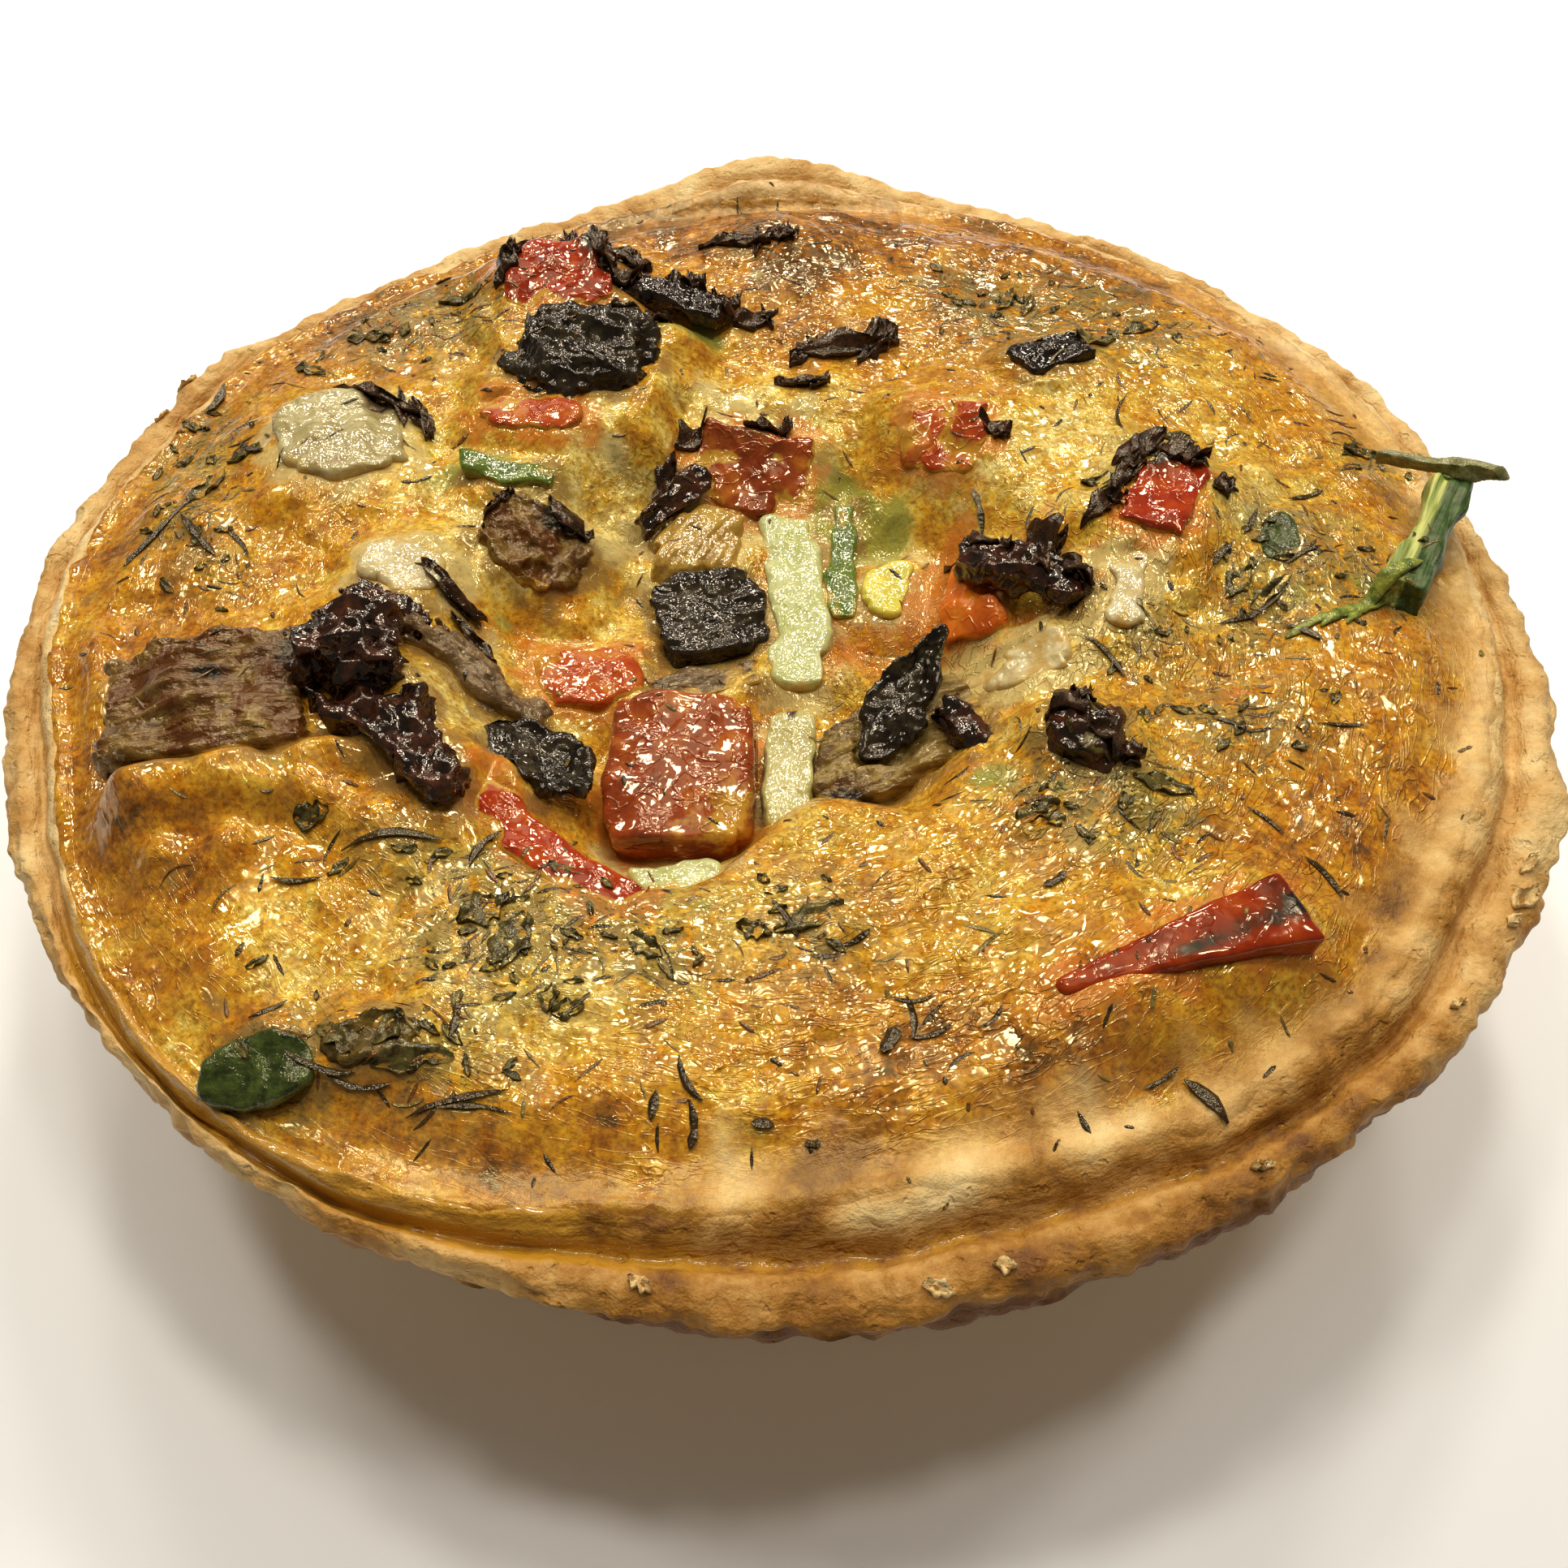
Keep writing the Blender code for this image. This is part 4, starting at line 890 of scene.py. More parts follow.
def bake_shell(shell):
    """Gives the even shell its swells, flakes and crumbly layers."""
    points = places_of(shell)
    x, y, z = points.T
    angle = np.degrees(np.arctan2(y, x))
    turn = np.radians(angle)
    radius = np.hypot(x, y)
    foot = BASE_RADIUS + BASE_CHAMFER
    up_wall = (radius - foot) / (RIM_RADIUS - WALL_TOP_INSET - foot)
    wall_line = BASE_CHAMFER + up_wall * (RIM_LEVEL - WALL_TOP_DROP)
    inside = (z > wall_line + 3.0 * MM) & (radius < EDGE_RADIUS - 0.3 * MM)
    on_top = (z >= RIM_LEVEL) & ~inside
    across = np.clip((RIM_RADIUS - radius) / (RIM_RADIUS - EDGE_RADIUS), 0.0, 1.0)
    climb = np.clip(up_wall, 0.0, 1.0)

    outer_swell = rim_radius(angle) - RIM_RADIUS
    edge_swell = edge_radius(angle) - EDGE_RADIUS
    lift = rim_lift(angle)
    push = np.where(on_top, outer_swell * (1.0 - across) + edge_swell * across, outer_swell * climb)
    push = np.where(inside, edge_swell * smooth_step(WELL_RADIUS, EDGE_RADIUS - 2.0 * MM, radius), push)
    top_lift = np.where(across > 0.93, np.minimum(lift, 0.65 * lift), lift * (1.0 - 0.35 * across))
    rise = np.where(on_top, top_lift, lift * smooth_step(0.85, 1.0, climb))
    rise = np.where(inside, 0.0, rise)

    stretched = np.stack([x, y, 2.5 * z], axis=1)
    along = np.stack([RIM_RADIUS * np.cos(turn), RIM_RADIUS * np.sin(turn), 5.0 * z], axis=1)
    shown = np.where(inside | (z < 0.3 * MM), 0.0, 1.0)
    flake = FLAKE_HEIGHT * soft_noise(stretched, FLAKE_LENGTH) / NOISE_REACH
    bulge = FLAKE_HEIGHT * soft_noise(stretched, FLAKE_LENGTH, 7.0) / NOISE_REACH
    layer = 0.14 * MM * creases(along, 6.5 * MM, 3.0)
    crumb = 0.18 * MM * soft_noise(points, 1.6 * MM, 5.0) + 0.10 * MM * soft_noise(points, 0.8 * MM, 9.0)
    ragged = 0.28 * MM * soft_noise(points, 2.6 * MM, 12.0) + 0.20 * MM * soft_noise(points, 1.0 * MM, 13.0)
    outer_side = smooth_step(0.45, 0.0, across) * np.where(on_top, 1.0, smooth_step(0.7, 1.0, climb))
    radius = radius + push + shown * (bulge + (layer + ragged) * outer_side)
    z = z + rise + shown * (flake + crumb + 0.5 * layer * outer_side) * smooth_step(0.0, 3.0 * MM, z)
    move_to(shell, np.stack([radius * np.cos(turn), radius * np.sin(turn), z], axis=1))
    toast_and_shade_shell(shell, points, angle, across, climb, on_top)
    shade_smooth(shell)


# --- Custard ---


def spread_custard():
    """A fine square sheet with a skirt, turned into a disc with evenly sized quads."""
    deselect_all()
    bpy.ops.mesh.primitive_grid_add(x_subdivisions=SKIN_CELLS, y_subdivisions=SKIN_CELLS, size=2.0)
    custard = bpy.context.object
    custard.name = custard.data.name = "custard_skin"
    bpy.ops.object.mode_set(mode="EDIT")
    bpy.ops.mesh.select_mode(type="EDGE")
    bpy.ops.mesh.select_all(action="DESELECT")
    bpy.ops.mesh.select_non_manifold(extend=False)
    for _ in range(3):
        bpy.ops.mesh.extrude_edges_move(TRANSFORM_OT_translate={"value": (0.0, 0.0, -1.0)})
    bpy.ops.mesh.edge_face_add()
    bpy.ops.object.mode_set(mode="OBJECT")

    points = places_of(custard)
    x, y, depth = points.T
    wide = np.abs(x) > np.abs(y)
    reach = np.where(wide, x, y)
    other = np.where(wide, y, x)
    safe = np.where(reach == 0.0, 1.0, reach)
    quarter = np.pi / 4.0 * other / safe
    disc_x = reach * np.where(wide, np.cos(quarter), np.sin(quarter))
    disc_y = reach * np.where(wide, np.sin(quarter), np.cos(quarter))
    return custard, disc_x, disc_y, depth


def soften(z, rounds):
    """Evens out steep steps between neighbouring points of the square sheet."""
    side = int(round(math.sqrt(len(z))))
    sheet = z.reshape(side, side).copy()
    for _ in range(rounds):
        sheet[1:-1] = 0.25 * sheet[:-2] + 0.5 * sheet[1:-1] + 0.25 * sheet[2:]
        sheet[:, 1:-1] = 0.25 * sheet[:, :-2] + 0.5 * sheet[:, 1:-1] + 0.25 * sheet[:, 2:]
    return sheet.ravel()


def lay_bare(x, y, z, pieces):
    """Keeps the skin just under the tops of the vegetables, but for a few uneven patches."""
    tree = surface_tree([item for item, _ in pieces])
    uneven = soft_noise(flat_places(x, y), 2.4 * MM, 63.0)
    bared = z.copy()
    for k, (px, py, pz) in enumerate(zip(x, y, z)):
        place, normal = look_down(tree, px, py)
        if place and normal.z > 0.65 and pz - 1.8 * MM < place.z < pz + 1.0 * MM:
            bared[k] = min(pz, place.z + (0.50 * uneven[k] - 0.42) * MM)
    return bared


def melt_into_pastry(shell, x, y, z, share, angle):
    """Lets the outer skin run flush over the inner roll of pastry and end just under its surface."""
    tree = surface_tree([shell])
    crest = RIM_LEVEL + 2.45 * MM + 0.65 * np.minimum(rim_lift(angle), 0.0)
    melted = z.copy()
    reach = smooth_step(0.90, 0.975, share)
    dive = smooth_step(0.982, 1.0, share)
    for k in np.nonzero(reach)[0]:
        level = max(surface_level(tree, x[k], y[k]), crest[k] * (1.0 - dive[k]))
        melted[k] += reach[k] * (level + (0.16 - 0.45 * dive[k]) * MM - z[k])
    return melted


def borrow(item, name, places):
    """The number stored on the nearest point of another piece, for each place."""
    stored = stored_on(item, name)
    tree = KDTree(len(stored))
    for index, point in enumerate(places_of(item)):
        tree.insert(point, index)
    tree.balance()
    return np.array([stored[tree.find(place)[1]] for place in places])


def comb_round_middle(x, y):
    """Places drawn out along the wrinkles, which run round the sunk middle."""
    from_x, from_y = x - SUNK_CENTRE[0], y - SUNK_CENTRE[1]
    from_middle = np.maximum(np.hypot(from_x, from_y), 0.1 * MM)
    ring_x, ring_y = COMB_RADIUS * from_x / from_middle, COMB_RADIUS * from_y / from_middle
    return np.stack([ring_x, ring_y, 5.0 * from_middle], axis=1)


def wrinkle_skin(x, y, z, calm, comb):
    """Lumps, combed wrinkles, fine creases and the dips beside the vegetables."""
    flat = flat_places(x, y)
    lumpy = 0.30 + 0.35 * sunk_share(x - SUNK_CENTRE[0], y - SUNK_CENTRE[1])
    z = z + lumpy * MM * soft_noise(flat, 4.0 * MM, 3.0) * calm
    z = z - 0.07 * MM * creases(comb, 9.0 * MM, 6.0) * calm
    z = z - 0.07 * MM * creases(flat, 3.0 * MM, 11.0) - 0.03 * MM * soft_noise(flat, 1.4 * MM, 15.0)
    return z - patches(x, y, DIPS) * MM


def distances_to(lines, x, y, top):
    """How far the skin's places are from the waterlines, by the tint of the pieces."""
    distances = {}
    for kind in ("pepper", "pale", "dark"):
        tree = line_tree([edge for edge, tint in lines if tint == kind])
        distances[kind] = np.full_like(x, 1.0)
        distances[kind][top] = [tree.find((px, py, 0.0))[2] for px, py in zip(x[top], y[top])]
    return distances


def halo(distance, reach):
    """1 at a waterline, falling off within the reach in mm."""
    return np.exp(-((distance / (reach * MM)) ** 2))


def stains_of(distances, x, y, comb):
    """How strongly peppers, pale flesh and dark pieces tint the skin at each place; the pale patches also
    hold a painted highlight.
    """
    flat = flat_places(x, y)
    from_pepper = halo(distances["pepper"], 2.0) * mottled(0.55, 0.5, flat, 2.4, 33.0)
    from_pale = halo(distances["pale"], 2.2) * mottled(0.60, 0.5, flat, 2.8, 35.0)
    from_dark = halo(distances["dark"], 1.5) * mottled(0.55, 0.6, flat, 2.0, 37.0)
    oiled = patches(x, y, OILED) * mottled(0.8, 0.5, flat, 2.0, 45.0)
    pale_and_highlight = patches(x, y, PALE_AND_HIGHLIGHT_SPOTS) * mottled(0.8, 0.5, flat, 2.4, 46.0)
    streaked = patches(x, y, STREAKED) * mottled(0.8, 0.5, comb, 3.0, 47.0)
    return np.stack([from_pepper + oiled, from_pale + pale_and_highlight, from_dark + streaked], axis=1)


def browning_of(flat, x, y, share, angle):
    """How browned the skin is: patches, a darker band at the rim and a blotchy middle."""
    middle = 1.0 - smooth_step(0.35, 0.60, share)
    browned = 0.34 + patches(x, y, BROWNED) * 0.28 - patches(x, y, CREAMY) * 0.36
    browned += 0.16 * soft_noise(flat, 11.0 * MM, 21.0)
    browned += 0.10 * smooth_step(0.72, 0.97, share) - 0.08 * middle
    browned += 0.26 * swell(angle, 90.0, 80.0) * (1.0 - middle)
    browned += 0.36 * middle * soft_noise(flat, 3.2 * MM, 23.0)
    return browned - 0.25 * swell(angle, 238.0, 26.0) * smooth_step(0.93, 1.0, share)


def crust_of(flat, share, angle):
    """Where the skin has baked as dry and pale as the pastry: a ragged strip along the edge."""
    ragged = 0.022 * soft_noise(flat, 2.4 * MM, 41.0) + 0.022 * soft_noise(flat, 5.0 * MM, 43.0)
    pale_edge = swell(angle, 305.0, 75.0) + 0.5 * swell(angle, 20.0, 40.0) + 0.4 * swell(angle, 90.0, 30.0)
    crusty = smooth_step(0.905, 0.975, share + ragged) * np.clip(1.3 * pale_edge, 0.0, 1.0)
    return np.clip(crusty, 0.0, 1.0)


def shape_custard(shell, pieces):
    """The skin's true height, its wrinkles, and a small rise where it clings to the vegetables."""
    custard, disc_x, disc_y, depth = spread_custard()
    share = np.hypot(disc_x, disc_y)
    angle = np.degrees(np.arctan2(disc_y, disc_x))
    turn = np.radians(angle)
    round_edge = flat_places(np.cos(turn), np.sin(turn)) * EDGE_RADIUS
    wobble = 0.5 * MM * soft_noise(round_edge, 5.0 * MM, 4.0)
    wobble += 0.35 * MM * soft_noise(round_edge, 2.0 * MM, 8.0)
    room = (rim_radius(angle) - edge_radius(angle)) / (RIM_RADIUS - EDGE_RADIUS)
    wobble *= np.clip(room, 0.2, 1.0)
    radius = share * (edge_radius(angle) + wobble * share**6)
    radius += EDGE_RUN * room * smooth_step(0.85, 1.0, share)
    x, y = radius * np.cos(turn), radius * np.sin(turn)

    flat = flat_places(x, y)
    comb = comb_round_middle(x, y)
    calm = smooth_step(0.0, 8.0 * MM, radius) * (1.0 - smooth_step(0.97, 1.0, share))
    z = bank_up(x, y, skin_height(x, y), pieces)
    z = wrinkle_skin(x, y, z, calm, comb)
    top = depth > -0.5
    z[top] = soften(lay_bare(x[top], y[top], z[top], pieces), 3)
    distances = distances_to(waterlines(pieces, x[top], y[top], z[top]), x, y, top)
    nearest = np.minimum(np.minimum(distances["pepper"], distances["pale"]), distances["dark"])
    uneven = 0.5 + 0.5 * soft_noise(flat, 3.0 * MM, 27.0)
    z = z + (0.12 + 0.30 * uneven) * MM * halo(nearest, 0.9)
    tinted = stains_of(distances, x, y, comb)

    z[top] = melt_into_pastry(shell, x[top], y[top], z[top], share[top], angle[top])
    for level, out, drop in SKIRTS:
        on = np.abs(depth - level) < 0.5
        skirt_radius = edge_radius(angle) + wobble + out * MM
        x = np.where(on, skirt_radius * np.cos(turn), x)
        y = np.where(on, skirt_radius * np.sin(turn), y)
        z = np.where(on, EDGE_LEVEL + np.minimum(rim_lift(angle), 0.0) - drop * MM, z)
    places = np.stack([x, y, z], axis=1)
    move_to(custard, places)
    shade_smooth(custard)

    herbed = HERB_HAZE + patches(x, y, HERBED)
    # Scorch spots; the two at the front right are painted shadow.
    scorched = patches(x, y, SCORCH_AND_SHADOW_SPOTS) * mottled(0.7, 0.5, flat, 2.0, 31.0)
    cooked = np.stack([browning_of(flat, x, y, share, angle), herbed, scorched], axis=1)
    crusty = crust_of(flat, share, angle)
    outer = np.nonzero(share > 0.88)[0]
    toast_and_shade = np.full_like(z, PASTRY_TOAST)
    toast_and_shade[outer] = borrow(shell, "toast_and_shade", places[outer])
    greened = patches(x, y, GREENED) * mottled(0.8, 0.4, flat, 2.0, 49.0)
    paint(custard, "toast_and_shade", toast_and_shade)
    paint(custard, "folded", (1.0 - crusty) * (0.10 + 0.30 * swell(angle, 325.0, 80.0)))
    paint(custard, "cooked", np.clip(cooked, 0.0, 1.0))
    paint(custard, "tinted", np.clip(tinted, 0.0, 1.0))
    paint(custard, "crusty", crusty)
    paint(custard, "greened", np.clip(greened, 0.0, 1.0))
    paint(custard, "combed", comb * COMB_SCALE)
    return custard


# Places where the skin dips beside a vegetable: x, y, spread and depth in mm.
DIPS = (
    (-15, -27, 3.0, 0.9), (-11, -30, 3.0, 0.9), (-19, -23.5, 3.0, 0.9), (-49, -5, 4.5, 0.7),
    (-44, -4, 5.0, 0.7), (-38, -2, 4.5, 0.6), (-47, -12, 2.6, -0.7), (-42, -11, 2.6, -0.8),
    (-37, -11, 2.6, -0.8), (-32, -12, 2.6, -0.8), (-27, -14, 2.6, -0.6),
)
# Vegetables that the custard has crept up to: how far under their tops it ends, how wide it slopes, and the
# most it may climb, in mm.
BANKED = {
    "onion_patch": (0.15, 5.0, 1.2), "onion_middle": (0.2, 4.0, 1.2), "onion_side": (0.3, 4.0, 1.0),
    "grey_onion": (0.35, 5.0, 1.6), "pepper_pink": (0.3, 5.0, 1.6), "pepper_left": (0.35, 4.0, 1.4),
    "courgette_strip": (0.4, 3.5, 1.3), "yellow_chunk": (0.6, 3.0, 1.3), "pepper_under": (0.4, 3.5, 1.3),
    "green_strip": (0.4, 3.5, 0.8), "white_bit": (0.3, 2.5, 1.2), "pepper_back": (0.9, 3.5, 1.6),
    "grey_strip": (0.5, 2.5, 0.8), "grey_shred": (0.4, 2.0, 0.8), "charred_ridge": (1.2, 4.0, 2.2),
    "onion_dome": (1.6, 3.0, 2.0), "leek_piece": (0.7, 2.5, 1.0), "pepper_upper": (1.2, 5.0, 2.4),
    "pepper_right": (0.9, 6.0, 3.0), "pepper_orange": (0.8, 3.0, 1.3), "brown_leaf": (0.3, 2.0, 0.8),
    "small_dark": (0.8, 2.0, 0.6), "dark_oval": (2.4, 5.0, 2.6), "olive_curl": (1.8, 3.5, 2.0),
    "dark_bit": (0.7, 2.5, 1.0), "green_leaf": (0.4, 3.5, 2.0), "pepper_wedge": (1.3, 4.0, 1.6),
    "char_tail": (2.2, 4.0, 2.0), "corner_leaf": (0.7, 3.5, 1.0),
}
# Vegetables over whose front edge and left end the custard has folded.
FOLDED = {"leek_slab": (-0.15, 8.5, 4.0)}


def bank_up(x, y, z, pieces):
    """Raises the skin round the sunk vegetables, unevenly, so that their sides go under."""
    flat = flat_places(x, y)
    uneven = soft_noise(flat, 3.2 * MM, 61.0)
    raised = z.copy()
    for item, _ in pieces:
        node = item.name.replace("_dressed", "")
        if node not in BANKED and node not in FOLDED:
            continue
        under, slope, most = BANKED.get(node) or FOLDED[node]
        points = places_of(item)
        turn = math.radians(item["turn"])
        centre = 0.5 * (points.min(axis=0) + points.max(axis=0))
        top = np.percentile(points[:, 2], 92) - under * MM
        half = np.abs(turned(points - centre, turn)).max(axis=0)
        along, across, _ = turned(flat - centre, turn).T
        past_end = np.maximum(np.abs(along) - 0.9 * half[0], 0.0)
        past_side = np.maximum(np.abs(across) - 0.9 * half[1], 0.0)
        outside = np.hypot(past_end, past_side)
        share = 1.0 - smooth_step(0.0, slope * MM * (1.0 + 0.4 * uneven), outside)
        if node in FOLDED:
            over_front = smooth_step(-0.62, -0.95, across / half[1])
            over_left = 0.8 * smooth_step(-0.86, -1.02, along / half[0])
            share *= np.maximum(over_front, over_left)
        climb = np.clip(top + 0.25 * MM * uneven - z, 0.0, most * MM) * share
        raised = np.maximum(raised, z + climb)
    return raised


# --- Vegetables ---


def pepper_relief(lie, points):
    return 0.16 * soft_noise(points, 2.6 * MM, 1.0) - 0.05 * creases(lie * (0.7, 1.0, 1.0), 1.9 * MM, 2.0)


def flesh_relief(lie, points):
    return 0.18 * soft_noise(points, 2.2 * MM, 3.0) + 0.07 * soft_noise(points, 0.9 * MM, 4.0)


def fibre_relief(lie, points):
    ribs = creases(lie * (0.12, 1.0, 0.5), 0.9 * MM, 5.0)
    return 0.20 * ribs + 0.22 * soft_noise(points, 2.4 * MM, 6.0)


def char_relief(lie, points):
    return 0.20 * ridges(lie * (0.4, 1.0, 1.0), 1.8 * MM, 7.0) + 0.09 * ridges(points, 0.8 * MM, 8.0)


def crisp_relief(lie, points):
    return 0.42 * ridges(lie * (0.7, 1.0, 1.0), 2.8 * MM, 9.0) + 0.20 * ridges(points, 1.2 * MM, 10.0)


def fresh_copy(node, grain, rounds):
    """A packed vegetable made again of fine even quads, with rounded edges."""
    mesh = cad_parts[node].data.copy()
    item = bpy.data.objects.new(node + "_dressed", mesh)
    mesh.name = item.name
    bpy.context.scene.collection.objects.link(item)
    pick(item)
    bpy.ops.object.mode_set(mode="EDIT")
    bpy.ops.mesh.select_all(action="SELECT")
    bpy.ops.mesh.remove_doubles(threshold=0.005 * MM)
    bpy.ops.object.mode_set(mode="OBJECT")
    apply_modifier(item, "REMESH", mode="VOXEL", voxel_size=grain * MM)
    apply_modifier(item, "SMOOTH", factor=0.5, iterations=rounds)
    return item


def reshape(lie, half, corner, taper, slim, lift):
    """Rounds the outline of a piece, narrows its far end, slims it and lifts it."""
    shrink = np.ones(len(lie))
    if corner:
        flat = np.maximum(np.abs(lie[:, :2]) / half[:2], 1e-6)
        shrink = flat.max(axis=1) / (flat**corner).sum(axis=1) ** (1.0 / corner)
    narrow = slim * shrink * (1.0 - taper * (0.5 + 0.5 * lie[:, 0] / half[0]))
    return np.stack([lie[:, 0] * shrink, lie[:, 1] * narrow, lie[:, 2] * slim + lift * MM], axis=1)


def paint_spots(item, name, unit, spots, everywhere):
    """Paints soft spots, each given as along, across, up and reach, over the amount found everywhere."""
    amount = everywhere
    for along, across, up, reach in spots:
        distance = np.linalg.norm((unit - (along, across, up)) * (1.0, 1.0, 0.5), axis=1)
        amount = np.maximum(amount, 1.0 - distance / reach)
    paint(item, name, np.clip(amount, 0.0, 1.0))


def dress(node, material, slot, relief, turn=0.0, grain=0.22, rounds=6, char=(), smear=(), strength=1.0,
          browned_edge=0.0, corner=None, taper=0.0, slim=1.0, lift=0.0, waver=1.0):
    """Remakes a packed vegetable, rounds it, wrinkles it and paints its scorched and smeared places.

    These places are given in the piece's own box, from -1 to 1 along, across and up. Turn is the way the
    piece lies in degrees, grain the size of its quads in mm and rounds how often they are smoothed. A low
    corner number rounds the outline more, and taper narrows the far end.
    """
    item = fresh_copy(node, grain, rounds)
    packed = places_of(item)
    points = packed + waver * (warped(packed) - packed)
    centre = 0.5 * (points.min(axis=0) + points.max(axis=0))
    lie = turned(points - centre, math.radians(turn))
    half = np.maximum(np.abs(lie).max(axis=0), 0.1 * MM)
    lie = reshape(lie, half, corner, taper, slim, lift)
    points = turned(lie, math.radians(-turn)) + centre
    move_to(item, points)
    height = strength * MM * (relief(lie + centre, points) + 0.30 * soft_noise(points, 3.4 * MM, 14.0))
    move_to(item, points + normals_of(item) * height[:, None])
    shade_smooth(item)

    unit = lie / half
    brim = smooth_step(0.70, 1.02, np.abs(unit[:, :2]).max(axis=1)) * (unit[:, 2] > 0.0)
    paint_spots(item, "charred", unit, char, browned_edge * brim)
    paint_spots(item, "drowned", unit, smear, np.zeros(len(unit)))
    paint(item, "lie", lie)
    item["turn"] = turn
    serve(item, material, slot, node)
    return item


# Colours of the peppers: skin, deep places and bright places; then depth of relief, film and gloss.
PEPPER_FINISHES = {
    "roasted_red_pepper": ((0.35, 0.026, 0.004), (0.17, 0.010, 0.003), (0.48, 0.085, 0.008)),
    "browned_red_pepper": ((0.30, 0.050, 0.008), (0.15, 0.018, 0.004), (0.52, 0.17, 0.014)),
    "roasted_orange_pepper": ((0.68, 0.15, 0.008), (0.45, 0.06, 0.006), (0.78, 0.30, 0.02)),
    "pale_red_pepper": ((0.44, 0.062, 0.009), (0.28, 0.025, 0.005), (0.58, 0.22, 0.03)),
    "red_pepper_wedge": ((0.27, 0.024, 0.004), (0.12, 0.009, 0.003), (0.38, 0.060, 0.006), 0.07, 0.0, 0.50),
}
# Colours of soft flesh: pale and shaded places; then the share of its fibres.
FLESH_FINISHES = {
    "soft_onion": ((0.55, 0.49, 0.20), (0.38, 0.31, 0.08)),
    "white_onion": ((0.66, 0.55, 0.29), (0.46, 0.33, 0.12)),
    "courgette_flesh": ((0.57, 0.57, 0.26), (0.40, 0.41, 0.11)),
    "yellow_chunk_flesh": ((0.78, 0.64, 0.085), (0.48, 0.40, 0.04)),
    "grey_onion_flesh": ((0.52, 0.44, 0.20), (0.26, 0.17, 0.05)),
    "browned_onion": ((0.50, 0.31, 0.050), (0.26, 0.12, 0.015), 0.6),
    "green_skin": ((0.15, 0.22, 0.024), (0.030, 0.070, 0.008), 0.6),
}
# Colours of leek: pale and shaded places; then how short the streaks are, mottling and warm patches.
FIBRE_FINISHES = {
    "striped_leek": ((0.27, 0.175, 0.040), (0.10, 0.048, 0.009)),
    "browned_leek": ((0.24, 0.135, 0.026), (0.050, 0.015, 0.004), 0.42, 0.5, (0.105, 0.032, 0.006, 1.0)),
    "grey_leek": ((0.19, 0.115, 0.050), (0.050, 0.025, 0.012)),
}
# Colours of char: crests and creases; then the gloss.
CHAR_FINISHES = {
    "black_char": ((0.028, 0.015, 0.009), (0.006, 0.004, 0.003)),
    "glossy_char": ((0.085, 0.024, 0.009), (0.008, 0.004, 0.003), 0.75),
    "grey_char": ((0.052, 0.038, 0.018), (0.009, 0.006, 0.004), 0.45),
}
# Colours of leaves and of the twig: pale and dark places.
LEAF_FINISHES = {
    "dark_green_leaf": ((0.070, 0.095, 0.018), (0.014, 0.022, 0.006)),
    "olive_leaf": ((0.14, 0.085, 0.014), (0.030, 0.017, 0.005)),
    "grey_twig": ((0.30, 0.28, 0.12), (0.10, 0.10, 0.030)),
}
# What the vegetables of each slot do to the custard round them, and their usual relief.
TINTS = {"pepper": "pepper", "onion": "pale", "leek": "dark", "char": "dark", "green": "dark"}
RELIEFS = {
    "pepper": pepper_relief, "onion": flesh_relief, "leek": fibre_relief, "char": char_relief,
    "green": flesh_relief,
}
